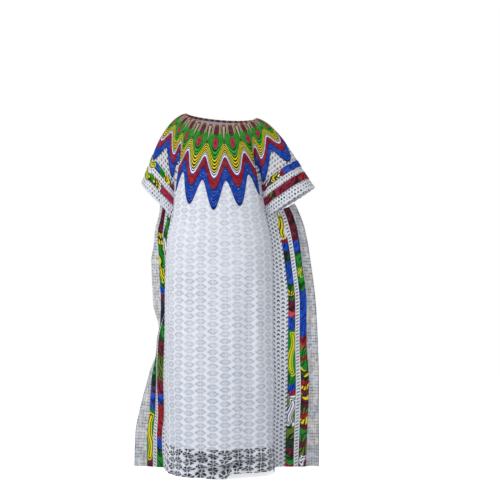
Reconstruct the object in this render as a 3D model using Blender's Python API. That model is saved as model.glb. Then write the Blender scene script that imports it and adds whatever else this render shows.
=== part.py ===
"""Grand boubou robe of eyelet lace, worn open on hidden shoulders.

Metres, +Z up. The front faces -Y and the wearer's left is +X. The origin is the
middle of the neck opening at the height of the shoulders that hold the robe up.

The upper robe is one surface of rays that leave the neck edge at even angles: the
front and back rays run down to the underarm ring, the side rays to the sleeve hems.
Below the ring a tube of sections carries the front and back down to the floor, and
outside its two side seams each wing is a front and a back layer. Everything that lies
on a panel (yoke, bands) or hangs inside it (lining) is made from that panel's points,
moved along its normals.
"""

import math

import bmesh
import bpy
import numpy as np

MM = 0.001

# Cloth
LACE_WALL = 2.0 * MM
PRINT_WALL = 1.2 * MM
LINING_WALL = 1.2 * MM
SEAM_GAP = 0.3 * MM
LAY_GAP = 0.3 * MM
LINING_EASE = 9.0 * MM

# Neck opening
NECK_HALF_WIDTH = 0.137
NECK_FRONT = 0.085
NECK_BACK = 0.075
NECK_FRONT_DROP = 0.042
NECK_BACK_DROP = 0.010
NECK_TILT = 0.011
BINDING_WIDTH = 0.012

# Rays: even steps round the neck, with the raglan seams on the ray angles below
RAY_STEP = 5
FRONT_SEAM = 50
BACK_SEAM = 130
RAYS = tuple(range(-180, 180, RAY_STEP))
FRONT_RAYS = tuple(range(-FRONT_SEAM, FRONT_SEAM + 1, RAY_STEP))
BACK_RAYS = tuple(range(BACK_SEAM, 360 - BACK_SEAM + 1, RAY_STEP))
LEFT_RAYS = tuple(range(FRONT_SEAM, BACK_SEAM + 1, RAY_STEP))
RIGHT_RAYS = tuple(range(-BACK_SEAM, -FRONT_SEAM + 1, RAY_STEP))
RAY_SAMPLES = 60

# How each ray leaves the neck: its angle, the slope down from level and its pull
RAY_STARTS = {
    "angle": (0, 25, 50, 70, 90, 110, 130, 155, 180),
    "slope": (50, 46, 34, 19, 13, 17, 28, 38, 42),
    "pull": (0.30, 0.30, 0.26, 0.27, 0.29, 0.27, 0.28, 0.32, 0.34),
}
# How each ray arrives: share of the arm's direction against straight down, and its pull
RAY_ENDS = {
    "angle": (0, 40, 50, 60, 90, 120, 130, 140, 180),
    "arm": (0.0, 0.0, 0.30, 0.75, 1.0, 0.75, 0.30, 0.0, 0.0),
    "inward": (0.0, 0.0, 0.30, 0.10, 0.0, -0.10, -0.30, 0.0, 0.0),
    "pull": (0.34, 0.34, 0.34, 0.32, 0.33, 0.32, 0.34, 0.36, 0.36),
}

# Body tube sections, hem last; the first is the underarm ring
BODY = {
    "z": (-0.408, -0.44, -0.50, -0.60, -0.74, -0.90, -1.05, -1.18, -1.275, -1.395),
    "half_width": (0.183, 0.191, 0.203, 0.209, 0.211, 0.211, 0.215, 0.212, 0.211, 0.214),
    "front": (0.150, 0.153, 0.158, 0.161, 0.161, 0.163, 0.166, 0.168, 0.169, 0.172),
    "back": (0.125, 0.127, 0.131, 0.136, 0.141, 0.146, 0.150, 0.152, 0.154, 0.156),
}
BODY_CENTRE_X = -0.004
BODY_FULLNESS = 2.3
CENTRE_CROWD = 1.2
SHOULDER_TILT = -0.027
TILT_FADES = -0.60

# Hanging folds of the tube: position round it (front centre 0, side seam 90), half
# width, depth at the hem (plus is a trough) and where each starts and is full
FOLDS = {
    "angle": (36, -52, 66, 6, -24, 118, 150, 180, -150, -122),
    "half_width": (15, 14, 14, 16, 15, 16, 15, 17, 15, 16),
    "depth": (0.012, 0.007, -0.008, -0.004, -0.005, 0.010, -0.008, 0.013, -0.009, 0.011),
    "start": (-0.55, -0.85, -0.90, -0.95, -1.05, -0.50, -0.60, -0.45, -0.70, -0.55),
    "full": (-0.80, -1.25, -1.30, -1.35, -1.35, -0.95, -1.10, -0.90, -1.20, -1.00),
}

# Sleeve mouths: tip of the hem and the depth of the open mouth before and behind
SLEEVES = {
    "tip_x": (0.3675, -0.3270),
    "tip_y": (0.020, 0.052),
    "tip_z": (-0.290, -0.268),
    "front": (0.080, 0.066),
    "back": (0.066, 0.066),
    "arm_x": (0.60, -0.40),
    "arm_y": (0.02, 0.10),
    "arm_z": (-0.80, -0.91),
}
MOUTH_PEAK = 2.0 / 27.0 ** 0.5
HEM_SHY_OF_SEAM = 0.012

# Print bands of the sleeves, measured up from the hem
HEM_BORDER = 0.042
LOWER_BAND = 0.030
BAND_APART = 0.025
UPPER_BAND = 0.027
BAND_ROOM = 0.135
BAND_SKIPS = 1
BAND_LIFT = 0.6 * MM

# Yoke: petals with their tips on even angles; reach from the neck edge
PETALS = 18
TIP_SIDE = 0.222
TIP_FRONT = 0.342
VALLEY_SIDE = 0.145
VALLEY_FRONT = 0.233
PETAL_SHARPNESS = 0.9
YOKE_RINGS = 4

# Wings in plan, on the rows of the body: knee (where the inner band starts), turn (where
# the outer band ends), outer edge, and cut width
LEFT_WING = {
    "knee_x": (0.206, 0.215, 0.230, 0.250, 0.262, 0.2595, 0.2575, 0.2545, 0.2510, 0.2490),
    "knee_y": (0.016, 0.022, 0.030, 0.012, 0.014, 0.022, 0.030, 0.028, 0.028, 0.034),
    "turn_x": (0.262, 0.279, 0.296, 0.3115, 0.3285, 0.3290, 0.3370, 0.3330, 0.3290, 0.3250),
    "turn_y": (0.024, 0.031, 0.036, 0.036, 0.040, 0.042, 0.044, 0.044, 0.046, 0.050),
    "edge_x": (0.284, 0.301, 0.324, 0.345, 0.364, 0.373, 0.377, 0.376, 0.377, 0.376),
    "edge_y": (0.027, 0.036, 0.044, 0.048, 0.051, 0.051, 0.052, 0.050, 0.053, 0.056),
    "cut": (0.085, 0.108, 0.142, 0.170, 0.186, 0.188, 0.188, 0.188, 0.188, 0.188),
}
RIGHT_WING = {
    "knee_x": (-0.196, -0.203, -0.212, -0.213, -0.215, -0.230, -0.2345, -0.232, -0.235, -0.2345),
    "knee_y": (0.025, 0.031, 0.041, 0.048, 0.052, 0.055, 0.055, 0.055, 0.048, 0.055),
    "turn_x": (-0.238, -0.246, -0.262, -0.262, -0.258, -0.262, -0.2905, -0.300, -0.3075, -0.3075),
    "turn_y": (0.043, 0.054, 0.064, 0.088, 0.108, 0.105, 0.090, 0.085, 0.070, 0.065),
    "edge_x": (-0.245, -0.251, -0.268, -0.300, -0.300, -0.262, -0.3156, -0.347, -0.3605, -0.3605),
    "edge_y": (0.060, 0.079, 0.094, 0.117, 0.143, 0.155, 0.135, 0.108, 0.085, 0.070),
    "cut": (0.085, 0.108, 0.142, 0.170, 0.186, 0.188, 0.188, 0.188, 0.188, 0.188),
}
WING_TOP_DROP = 0.4
WING_TOP_RISE = 0.55
WING_RISE_ROWS = 4
WING_LAYER_GAP = 5.0 * MM
WING_SAMPLES = 80
WING_LACE = 0.058
WING_BAND = 0.030
WING_INSERTION = 0.018
WING_OUTER_BAND = 0.027

# Colours, linear
WHITE_LACE = (0.88, 0.90, 0.93)
WHITE_LINING = (0.80, 0.82, 0.86)
YOKE_BLUE = (0.02, 0.08, 0.45)
BAND_GREEN = (0.02, 0.30, 0.05)
BAND_RED = (0.50, 0.03, 0.05)
BINDING_PINK = (0.50, 0.18, 0.20)


def clear_scene():
    """Remove every object that a new file opens with."""
    for item in list(bpy.data.objects):
        bpy.data.objects.remove(item, do_unlink=True)


def cloth_material(name, colour, roughness):
    """A plain Principled cloth of one colour."""
    material = bpy.data.materials.new(name)
    material.use_nodes = True
    shader = material.node_tree.nodes["Principled BSDF"]
    shader.inputs["Base Color"].default_value = (*colour, 1.0)
    shader.inputs["Roughness"].default_value = roughness
    shader.inputs["Metallic"].default_value = 0.0
    return material


def unit(vectors):
    """Vectors scaled to length one along the last axis."""
    length = np.linalg.norm(vectors, axis=-1, keepdims=True)
    return vectors / np.maximum(length, 1e-12)


def ease(value):
    """Smooth step from 0 to 1."""
    value = min(max(value, 0.0), 1.0)
    return value * value * (3.0 - 2.0 * value)


def from_table(table, key, column, value):
    """One column of a table read between its rows, eased by a cosine."""
    places = table[key]
    values = table[column]
    if places[0] > places[-1]:
        places = tuple(-place for place in places)
        value = -value
    for low, high, start, end in zip(places, places[1:], values, values[1:]):
        if value <= high:
            share = max(0.0, (value - low) / (high - low))
            return start + (end - start) * (0.5 - 0.5 * math.cos(math.pi * share))
    return values[-1]


def folded(angle):
    """An angle brought into -180..180."""
    return (angle + 180.0) % 360.0 - 180.0


def sleeve_row(angle):
    """Index in the sleeve table of the side that an angle lies on."""
    return 0 if folded(angle) >= 0 else 1


def tilt(x, z):
    """Drop of the wearer's left side, which fades out down the skirt."""
    return SHOULDER_TILT * x * ease((z - TILT_FADES) / -TILT_FADES)


# ---------------------------------------------------------------- neck and body tube


def neck_point(angle):
    """Point of the neck edge on one ray."""
    turn = math.radians(angle)
    sine = math.sin(turn)
    cosine = math.cos(turn)
    depth = NECK_FRONT if cosine > 0 else NECK_BACK
    drop = NECK_FRONT_DROP if cosine > 0 else NECK_BACK_DROP
    height = -NECK_TILT * (1.0 + sine) - drop * abs(cosine) ** 1.3
    return np.array((NECK_HALF_WIDTH * sine, -depth * cosine, height))


def tube_angle(ray):
    """Place round the body tube (front centre 0, side seam 90) of a front or back ray."""
    ray = folded(ray)
    side = 1.0 if ray >= 0 else -1.0
    if abs(ray) <= FRONT_SEAM:
        return side * 90.0 * (abs(ray) / FRONT_SEAM) ** CENTRE_CROWD
    rest = (180.0 - abs(ray)) / (180.0 - BACK_SEAM)
    return side * (180.0 - 90.0 * rest ** CENTRE_CROWD)


def tube_point(ray, z):
    """Point of the body tube on a ray at a height, with the hanging folds."""
    place = tube_angle(ray)
    turn = math.radians(place)
    sine = math.sin(turn)
    cosine = math.cos(turn)
    width = from_table(BODY, "z", "half_width", z)
    depth = from_table(BODY, "z", "front" if cosine > 0 else "back", z)
    power = 2.0 / BODY_FULLNESS
    across = math.copysign(abs(sine) ** power, sine)
    along = math.copysign(abs(cosine) ** power, cosine)
    point = np.array((width * across, -depth * along, z))
    point -= fold_depth(place, z) * np.array((sine, -cosine, 0.0))
    point[0] += BODY_CENTRE_X
    point[2] += tilt(point[0], z)
    return point


def fold_depth(place, z):
    """Sum of the hanging folds at one place of the tube, kept off the side seams."""
    total = 0.0
    for row, middle in enumerate(FOLDS["angle"]):
        away = abs(folded(place - middle)) / FOLDS["half_width"][row]
        if away < 1.0:
            start = FOLDS["start"][row]
            grown = ease((start - z) / (start - FOLDS["full"][row]))
            total += FOLDS["depth"][row] * grown * math.cos(0.5 * math.pi * away) ** 2
    return total * ease(abs(abs(place) - 90.0) / 12.0)


# ---------------------------------------------------------------- rays of the upper robe


def underarm(side_row):
    """Point of the side seam's top on the side of a sleeve."""
    ray = FRONT_SEAM if side_row == 0 else -FRONT_SEAM
    return tube_point(ray, BODY["z"][0])


def mouth_point(angle):
    """Point of a sleeve's hem: an open loop, pointed at the underarm, round at the tip."""
    row = sleeve_row(angle)
    low = underarm(row)
    tip = np.array([SLEEVES["tip_" + axis][row] for axis in "xyz"])
    turn = math.pi * (abs(folded(angle)) - 90.0) / (BACK_SEAM - 90.0)
    share = 0.5 + 0.5 * math.cos(turn)
    across = math.copysign(share * math.sqrt(1.0 - share) / MOUTH_PEAK, turn)
    depth = SLEEVES["back" if turn > 0 else "front"][row]
    return low + (tip - low) * share + np.array((0.0, depth * across, 0.0))


def ray_end(angle):
    """Where a ray ends: on the underarm ring or on a sleeve's hem."""
    if FRONT_SEAM < abs(folded(angle)) < BACK_SEAM:
        return mouth_point(angle)
    return tube_point(angle, BODY["z"][0])


def ray_curve(angle):
    """Points of one ray, as a cubic from the neck edge to its end."""
    turn = math.radians(angle)
    steep = abs(folded(angle))
    slope = math.radians(from_table(RAY_STARTS, "angle", "slope", steep))
    leave = np.array((math.sin(turn) * math.cos(slope),
                      -math.cos(turn) * math.cos(slope),
                      -math.sin(slope)))
    row = sleeve_row(angle)
    arm = np.array([SLEEVES["arm_" + axis][row] for axis in "xyz"])
    share = from_table(RAY_ENDS, "angle", "arm", steep)
    arrive = share * arm + (1.0 - share) * np.array((0.0, 0.0, -1.0))
    arrive[1] += from_table(RAY_ENDS, "angle", "inward", steep)
    start = neck_point(angle)
    end = ray_end(angle)
    leave *= from_table(RAY_STARTS, "angle", "pull", steep)
    arrive = unit(arrive) * from_table(RAY_ENDS, "angle", "pull", steep)
    t = np.linspace(0.0, 1.0, RAY_SAMPLES)[:, None]
    return ((2 * t**3 - 3 * t**2 + 1) * start + (t**3 - 2 * t**2 + t) * leave
            + (3 * t**2 - 2 * t**3) * end + (t**3 - t**2) * arrive)


def along_curve(points, places):
    """Points at given lengths along a sampled curve."""
    steps = np.linalg.norm(np.diff(points, axis=0), axis=1)
    lengths = np.concatenate(([0.0], np.cumsum(steps)))
    columns = [np.interp(places, lengths, points[:, axis]) for axis in range(points.shape[1])]
    return np.stack(columns, axis=-1)


def curve_length(points):
    """Length of a sampled curve."""
    return float(np.linalg.norm(np.diff(points, axis=0), axis=1).sum())


def petal_reach(angle):
    """Reach of the yoke from the neck edge on one ray."""
    facing = math.cos(math.radians(angle)) ** 2
    tip = TIP_SIDE + (TIP_FRONT - TIP_SIDE) * facing
    valley = VALLEY_SIDE + (VALLEY_FRONT - VALLEY_SIDE) * facing
    wave = (0.5 + 0.5 * math.cos(math.radians(PETALS * angle))) ** PETAL_SHARPNESS
    return valley + (tip - valley) * wave


def ray_places(angle, length):
    """Lengths along a ray of the grid rows: yoke rings, band edges and the end."""
    reach = petal_reach(angle)
    places = [BINDING_WIDTH + (reach - BINDING_WIDTH) * ring / YOKE_RINGS
              for ring in range(YOKE_RINGS + 1)]
    room = min(1.0, (length - reach) / BAND_ROOM)
    lower = HEM_BORDER + LOWER_BAND
    upper = lower + BAND_APART
    for edge in (upper + UPPER_BAND, upper, lower, HEM_BORDER, 0.0):
        places.append(length - edge * room)
    return places


UPPER_BAND_ROWS = (YOKE_RINGS + 1, YOKE_RINGS + 2)
LOWER_BAND_ROWS = (YOKE_RINGS + 3, YOKE_RINGS + 4)
HEM_ROW = YOKE_RINGS + 5


class Surface:
    """All points of the robe's shell, with one shared normal at each place."""

    def __init__(self):
        self.points = {}
        self.sums = {}
        self.build_upper()
        self.build_tube(FRONT_RAYS)
        self.build_tube(BACK_RAYS)
        self.gather_normals()

    def build_upper(self):
        """Rows of every ray from the binding to the ring or the hem."""
        for ray in RAYS:
            curve = ray_curve(ray)
            length = curve_length(curve)
            rows = along_curve(curve, ray_places(ray, length))
            for row, point in enumerate(rows):
                self.points[("up", row, ray)] = point

    def build_tube(self, rays):
        """Rows of the body tube below the underarm ring."""
        for ray in rays:
            for row, z in enumerate(BODY["z"][1:], start=1):
                self.points[("down", row, folded(ray))] = tube_point(ray, z)

    def key(self, part, row, ray):
        """Name of a point, with the ring shared by the upper robe and the tube."""
        ray = int(folded(ray))
        if part == "down" and row == 0:
            return ("up", HEM_ROW, ray)
        return (part, row, ray)

    def quads(self):
        """Corners of every cell, in an order that faces outwards."""
        for row in range(HEM_ROW):
            for ray in RAYS:
                yield [self.key("up", row, ray), self.key("up", row + 1, ray),
                       self.key("up", row + 1, ray + RAY_STEP), self.key("up", row, ray + RAY_STEP)]
        for rays in (FRONT_RAYS, BACK_RAYS):
            for row in range(len(BODY["z"]) - 1):
                for ray in rays[:-1]:
                    yield [self.key("down", row, ray), self.key("down", row + 1, ray),
                           self.key("down", row + 1, ray + RAY_STEP),
                           self.key("down", row, ray + RAY_STEP)]

    def gather_normals(self):
        """Sum the cell normals at each place in space, so seams share theirs."""
        for corners in self.quads():
            a, b, c, d = (self.points[corner] for corner in corners)
            normal = unit(np.cross(c - a, d - b))
            for corner in corners:
                place = tuple(np.round(self.points[corner], 6))
                self.sums[place] = self.sums.get(place, np.zeros(3)) + normal

    def normal(self, key):
        """Outward normal at a point."""
        return unit(self.sums[tuple(np.round(self.points[key], 6))])

    def grid(self, keys):
        """Points and normals of a grid of names, seams at both side columns."""
        points = np.array([[self.points[key] for key in row] for row in keys])
        normals = np.array([[self.normal(key) for key in row] for row in keys])
        return points, normals


def pull_back(points, normals, distance):
    """Move the two side columns of a grid inwards along the cloth."""
    moved = points.copy()
    for column, inner in ((0, 1), (-1, -2)):
        along = unit(np.gradient(points[:, column], axis=0))
        across = points[:, inner] - points[:, column]
        across -= (across * along).sum(-1, keepdims=True) * along
        normal = normals[:, column]
        across -= (across * normal).sum(-1, keepdims=True) * normal
        moved[:, column] += unit(across) * distance
    return moved


# ---------------------------------------------------------------- closed walls


def wall(name, outer, inner, material, ring=False):
    """A closed wall between two grids; a ring joins its last column to its first."""
    rows, columns = outer.shape[:2]
    body = bmesh.new()
    skins = []
    for grid in (outer, inner):
        skins.append([[body.verts.new(point) for point in row] for row in grid])
    spans = columns if ring else columns - 1
    for row in range(rows - 1):
        for column in range(spans):
            after = (column + 1) % columns
            for skin, flip in ((skins[0], False), (skins[1], True)):
                a, b = skin[row][column], skin[row + 1][column]
                c, d = skin[row + 1][after], skin[row][after]
                for corners in ((a, b, c), (a, c, d)):
                    body.faces.new(corners[::-1] if flip else corners)
    edges = []
    for row, flip in ((0, False), (rows - 1, True)):
        for column in range(spans):
            edges.append(((row, column), (row, (column + 1) % columns), flip))
    if not ring:
        for column, flip in ((0, True), (columns - 1, False)):
            for row in range(rows - 1):
                edges.append(((row, column), (row + 1, column), flip))
    for (row_a, column_a), (row_b, column_b), flip in edges:
        a, b = skins[0][row_a][column_a], skins[0][row_b][column_b]
        c, d = skins[1][row_b][column_b], skins[1][row_a][column_a]
        for corners in ((a, b, c), (a, c, d)):
            body.faces.new(corners[::-1] if flip else corners)
    bmesh.ops.recalc_face_normals(body, faces=body.faces)
    if body.calc_volume(signed=True) < 0:
        bmesh.ops.reverse_faces(body, faces=body.faces)
    mesh = bpy.data.meshes.new(name)
    body.to_mesh(mesh)
    body.free()
    mesh.shade_smooth()
    mesh.set_sharp_from_angle(angle=math.radians(50))
    mesh.materials.append(material)
    item = bpy.data.objects.new(name, mesh)
    bpy.context.collection.objects.link(item)
    return item


def shell(name, points, normals, outer, inner, material, ring=False):
    """A closed wall between two offsets of one grid."""
    return wall(name, points + normals * outer, points + normals * inner, material, ring)


# ---------------------------------------------------------------- pieces on the shell


def body_keys(surface, rays):
    """Grid names of a body panel, neck to hem."""
    keys = [[surface.key("up", row, ray) for ray in rays] for row in range(HEM_ROW + 1)]
    for row in range(1, len(BODY["z"])):
        keys.append([surface.key("down", row, ray) for ray in rays])
    return keys


def build_body_panel(surface, name, rays, material):
    """Front or back panel of lace."""
    points, normals = surface.grid(body_keys(surface, rays))
    points = pull_back(points, normals, SEAM_GAP / 2)
    return shell(name, points, normals, 0.0, -LACE_WALL, material)


def build_lining(surface, name, rays, material):
    """Lining hung inside a body panel from the neck seam, ending above the hem."""
    rows = body_keys(surface, rays[::2])
    last = len(rows) - 2
    kept = [0, 2, YOKE_RINGS, HEM_ROW - 2] + list(range(HEM_ROW, last, 2)) + [last]
    points, normals = surface.grid([rows[row] for row in kept])
    points = pull_back(points, normals, SEAM_GAP)
    depth = np.full((len(kept), 1, 1), LACE_WALL + LINING_EASE)
    depth[0] = LACE_WALL + SEAM_GAP
    return shell(name, points, normals, -depth, -depth - LINING_WALL, material)


def sleeve_grid(surface, rays):
    """Grid of a sleeve, whose hem stops just short of the underarm."""
    keys = [[surface.key("up", row, ray) for ray in rays] for row in range(HEM_ROW + 1)]
    points, normals = surface.grid(keys)
    for column in (0, -1):
        step = points[-2, column] - points[-1, column]
        share = HEM_SHY_OF_SEAM / np.linalg.norm(step)
        points[-1, column] += share * step
        normals[-1, column] = normals[-2, column]
    return pull_back(points, normals, SEAM_GAP), normals


def build_sleeve(surface, name, rays, material):
    """One raglan sleeve of lace."""
    points, normals = sleeve_grid(surface, rays)
    return shell(name, points, normals, 0.0, -LACE_WALL, material)


def build_sleeve_band(surface, name, rays, rows, material):
    """A print band laid on a sleeve, from one raglan fold round to the other."""
    points, normals = sleeve_grid(surface, rays)
    span = (slice(rows[0], rows[1] + 1), slice(BAND_SKIPS, -BAND_SKIPS))
    return shell(name, points[span], normals[span], BAND_LIFT + PRINT_WALL, BAND_LIFT, material)


def build_yoke(surface, material):
    """The petalled yoke, a closed ring laid on all four panels."""
    keys = [[surface.key("up", row, ray) for ray in RAYS] for row in range(YOKE_RINGS + 1)]
    points, normals = surface.grid(keys)
    return shell("yoke", points, normals, LAY_GAP + PRINT_WALL, LAY_GAP, material, ring=True)


def build_binding(surface, material):
    """Neck binding: a band between the neck edge and the top of panels and yoke."""
    edge = np.array([neck_point(ray) for ray in RAYS])
    keys = [surface.key("up", 0, ray) for ray in RAYS]
    seam = np.array([surface.points[key] for key in keys])
    normal = np.array([surface.normal(key) for key in keys])
    seam += unit(edge - seam) * SEAM_GAP
    top = LAY_GAP + PRINT_WALL
    grid = np.stack((edge, seam))
    normals = np.stack((normal, normal))
    return shell("neck_binding", grid, normals, top, -LACE_WALL, material, ring=True)


# ---------------------------------------------------------------- wings


def wing_cuts():
    """Cut fractions of the wing's columns: lace, band, insertion, band, outer lace."""
    whole = LEFT_WING["cut"][-1]
    inner = WING_LACE / whole
    inner_end = inner + WING_BAND / whole
    outer = inner_end + WING_INSERTION / whole
    outer_end = outer + WING_OUTER_BAND / whole
    return (0.0, inner / 2, inner, inner_end, outer, outer_end, (1 + outer_end) / 2, 1.0)


INNER_BAND_COLUMNS = slice(2, 4)
OUTER_BAND_COLUMNS = slice(4, 6)


def bowed(start, end, length):
    """Plan curve from one point to another that bows until it has a length."""
    chord = end - start
    away = unit(np.array((-chord[1], chord[0])))
    share = np.linspace(0.0, 1.0, WING_SAMPLES)
    bow = np.sin(math.pi * share)
    low = 0.0
    high = length
    for _ in range(40):
        depth = 0.5 * (low + high)
        curve = start + share[:, None] * chord + (bow * depth)[:, None] * away
        if curve_length(curve) < length:
            low = depth
        else:
            high = depth
    return curve


def wing_plan(corners, cut):
    """Points of the wing's columns in plan: from seam to knee to turn to edge."""
    whole = LEFT_WING["cut"][-1]
    bands = WING_BAND + WING_INSERTION + WING_OUTER_BAND
    stops = (0.0, WING_LACE / whole, (WING_LACE + bands) / whole, 1.0)
    places = np.array(wing_cuts())
    plan = [corners[0][None, :]]
    for start, end, low, high in zip(corners, corners[1:], stops, stops[1:]):
        curve = bowed(start, end, cut * (high - low))
        inside = places[(places > low + 1e-9) & (places < high + 1e-9)]
        share = (inside - low) / (high - low)
        plan.append(along_curve(curve, share * curve_length(curve)))
    return np.concatenate(plan)


def wing_grid(side, table):
    """Middle surface of one wing and the plan normals that point backwards."""
    ray = FRONT_SEAM * side
    seams = [tube_point(ray, z) for z in BODY["z"]]
    seams[0] = seams[0] + WING_TOP_DROP * (seams[1] - seams[0])
    rows = []
    for row, seam in enumerate(seams):
        corners = [seam[:2]]
        for corner in ("knee", "turn", "edge"):
            corners.append(np.array((table[corner + "_x"][row], table[corner + "_y"][row])))
        plan = wing_plan(corners, table["cut"][row])
        places = np.array(wing_cuts()) * table["cut"][row]
        rise = WING_TOP_RISE * ease(1.0 - row / WING_RISE_ROWS)
        rows.append(np.column_stack((plan, seam[2] + rise * places)))
    points = np.array(rows)
    along = np.gradient(points, axis=1)
    down = np.gradient(points, axis=0)
    normals = unit(np.cross(along, down)) * side
    normals[:, 0] = (0.0, 1.0, 0.0)
    points[:, 0, 0] += SEAM_GAP * side
    return points, normals


def build_wing(side_name, side, table, lace, band):
    """Front and back layer of one wing, each with its two print bands."""
    points, normals = wing_grid(side, table)
    spread = np.sin(np.linspace(0.0, 0.8 * math.pi, points.shape[1]))
    part = (SEAM_GAP + WING_LAYER_GAP * spread)[None, :, None] / 2
    for layer, way in (("front", -1.0), ("back", 1.0)):
        facing = normals * way
        skin = points + facing * part
        label = layer + "_" + side_name
        shell("wing_" + label, skin, facing, LACE_WALL, 0.0, lace)
        for place, columns in (("inner", INNER_BAND_COLUMNS), ("outer", OUTER_BAND_COLUMNS)):
            low = LACE_WALL + LAY_GAP
            shell("band_" + place + "_" + label, skin[:, columns], facing[:, columns],
                  low + PRINT_WALL, low, band)


def main():
    """Build every piece of the robe."""
    clear_scene()
    lace = cloth_material("eyelet_lace", WHITE_LACE, 0.85)
    lining = cloth_material("plain_lining", WHITE_LINING, 0.80)
    yoke = cloth_material("yoke_print", YOKE_BLUE, 0.75)
    wing_band = cloth_material("band_print", BAND_GREEN, 0.75)
    sleeve_band = cloth_material("sleeve_print", BAND_RED, 0.75)
    binding = cloth_material("binding_print", BINDING_PINK, 0.75)
    surface = Surface()
    build_body_panel(surface, "front_panel", FRONT_RAYS, lace)
    build_body_panel(surface, "back_panel", BACK_RAYS, lace)
    build_lining(surface, "lining_front", FRONT_RAYS, lining)
    build_lining(surface, "lining_back", BACK_RAYS, lining)
    for side, rays in (("left", LEFT_RAYS), ("right", RIGHT_RAYS)):
        build_sleeve(surface, "sleeve_" + side, rays, lace)
        build_sleeve_band(surface, "sleeve_band_upper_" + side, rays, UPPER_BAND_ROWS, sleeve_band)
        build_sleeve_band(surface, "sleeve_band_lower_" + side, rays, LOWER_BAND_ROWS, sleeve_band)
    build_yoke(surface, yoke)
    build_binding(surface, binding)
    build_wing("left", 1.0, LEFT_WING, lace, wing_band)
    build_wing("right", -1.0, RIGHT_WING, lace, wing_band)


main()
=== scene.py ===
"""Looks of the grand boubou robe: lace body, sleeves and wings, print yoke and bands, lining.

Metres, +Z up, front to -Y, the wearer's left to +X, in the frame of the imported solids.
Every piece of cloth is laid on the form that its solid has, with finer folds.
"""

import logging
import math
from dataclasses import dataclass
from enum import Enum

import bpy
import numpy as np
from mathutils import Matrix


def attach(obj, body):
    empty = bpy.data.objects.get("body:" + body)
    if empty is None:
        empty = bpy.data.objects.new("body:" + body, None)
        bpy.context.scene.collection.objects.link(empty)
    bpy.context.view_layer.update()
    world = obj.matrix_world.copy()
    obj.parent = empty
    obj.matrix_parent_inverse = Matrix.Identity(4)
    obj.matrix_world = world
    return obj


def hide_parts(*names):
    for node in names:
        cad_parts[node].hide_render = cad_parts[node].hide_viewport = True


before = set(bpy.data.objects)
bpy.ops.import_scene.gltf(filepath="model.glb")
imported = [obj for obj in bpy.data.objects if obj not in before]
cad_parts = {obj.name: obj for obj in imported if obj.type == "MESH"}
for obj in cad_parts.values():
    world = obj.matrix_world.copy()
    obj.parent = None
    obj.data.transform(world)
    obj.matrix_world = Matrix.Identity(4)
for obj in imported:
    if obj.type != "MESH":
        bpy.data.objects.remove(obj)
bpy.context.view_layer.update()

LOG = logging.getLogger("robe")
MM = 0.001
SEAM_GAP = 0.3 * MM
INNER_BAND = (58.0 * MM, 88.0 * MM)
OUTER_BAND = (106.0 * MM, 133.0 * MM)
RAMP_ROOM = 28
Vec = tuple[float, float, float]
Array = np.ndarray
Grid = tuple[Array, Array, Array]
Stops = tuple[tuple[float, Enum], ...]


class Tint(Enum):
    """Colours of threads and dyes, of painted shade, and of the studio, as sRGB."""

    WHITE = "#F4F7FE"
    LACE = "#E8EDF8"
    LACE_SHADE = "#D6DDEC"
    # Painted shade that grows along the lace towards its hem.
    SHEER = "#CBD1DE"
    WARM_LACE = "#F6F4F0"
    # Painted shade of the crumpled hem, laid over the lace in clouds.
    HEM_LACE = "#A3A5AC"
    # The lining seen through the lace's openings, with painted shade on it.
    PALE_OPENING = "#98A0B4"
    # Painted shade of the robe's inside, seen through openings where no lining hangs.
    DARK_OPENING = "#1B1A20"
    BROWN = "#5B3A22"
    LINING = "#EDEFF5"
    BLUE = "#004CCA"
    NAVY = "#0A1238"
    RED = "#AE0D1C"
    MAROON = "#6C122B"
    WINE = "#8E1236"
    CRIMSON = "#B81848"
    CORAL = "#DC4A4E"
    GREEN = "#0A8C1C"
    DEEP_GREEN = "#083A14"
    LEAF = "#2BA31C"
    YELLOW = "#E8D818"
    OLIVE = "#5F7A1C"
    BEIGE = "#B4A48C"
    PURPLE = "#5A3A86"
    BLACK = "#0E0E12"
    FLOOR = "#F2F2F3"
    LIGHT = "#FFFFFF"

    @property
    def linear(self) -> tuple[float, float, float, float]:
        """The colour as linear RGBA.

        Returns:
            Red, green and blue, and 1 for alpha.
        """
        code = self.value.lstrip("#")
        parts = [int(code[place:place + 2], 16) / 255.0 for place in (0, 2, 4)]
        scaled = [part / 12.92 if part <= 0.04045 else ((part + 0.055) / 1.055) ** 2.4
                  for part in parts]
        return (scaled[0], scaled[1], scaled[2], 1.0)


def row_of(text: str) -> Stops:
    """Colours in a row, written as the end of each in thousandths, and its tint."""
    words = text.split()
    return tuple((float(end) * MM, Tint[name]) for end, name in zip(words[::2], words[1::2]))


# ---------- numbers


def grown(value: Array | float, start: float, full: float) -> Array:
    """Smooth growth from 0 at one value to 1 at another."""
    share = np.clip((value - start) / (full - start), 0.0, 1.0)
    return share * share * (3.0 - 2.0 * share)


def unit(vectors: Array) -> Array:
    """Vectors scaled to length one along the last axis."""
    length = np.linalg.norm(vectors, axis=-1, keepdims=True)
    return vectors / np.maximum(length, 1e-12)


def folded(angle: Array | float) -> Array:
    """Angles brought into -180..180."""
    return (np.asarray(angle, dtype=float) + 180.0) % 360.0 - 180.0


def normals_of(points: Array, outside: Array) -> Array:
    """Normals of a grid of points.

    Args:
        points: Grid of shape rows, columns, 3.
        outside: A direction, or one for each point, that the normals lean towards.

    Returns:
        Unit normals of the same shape.
    """
    down = np.gradient(points, axis=0)
    along = np.gradient(points, axis=1)
    normals = unit(np.cross(down, along))
    middle = points.shape[0] // 2, points.shape[1] // 2
    lean = np.broadcast_to(outside, points.shape)[middle]
    return normals if float(np.dot(normals[middle], lean)) > 0 else -normals


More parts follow.
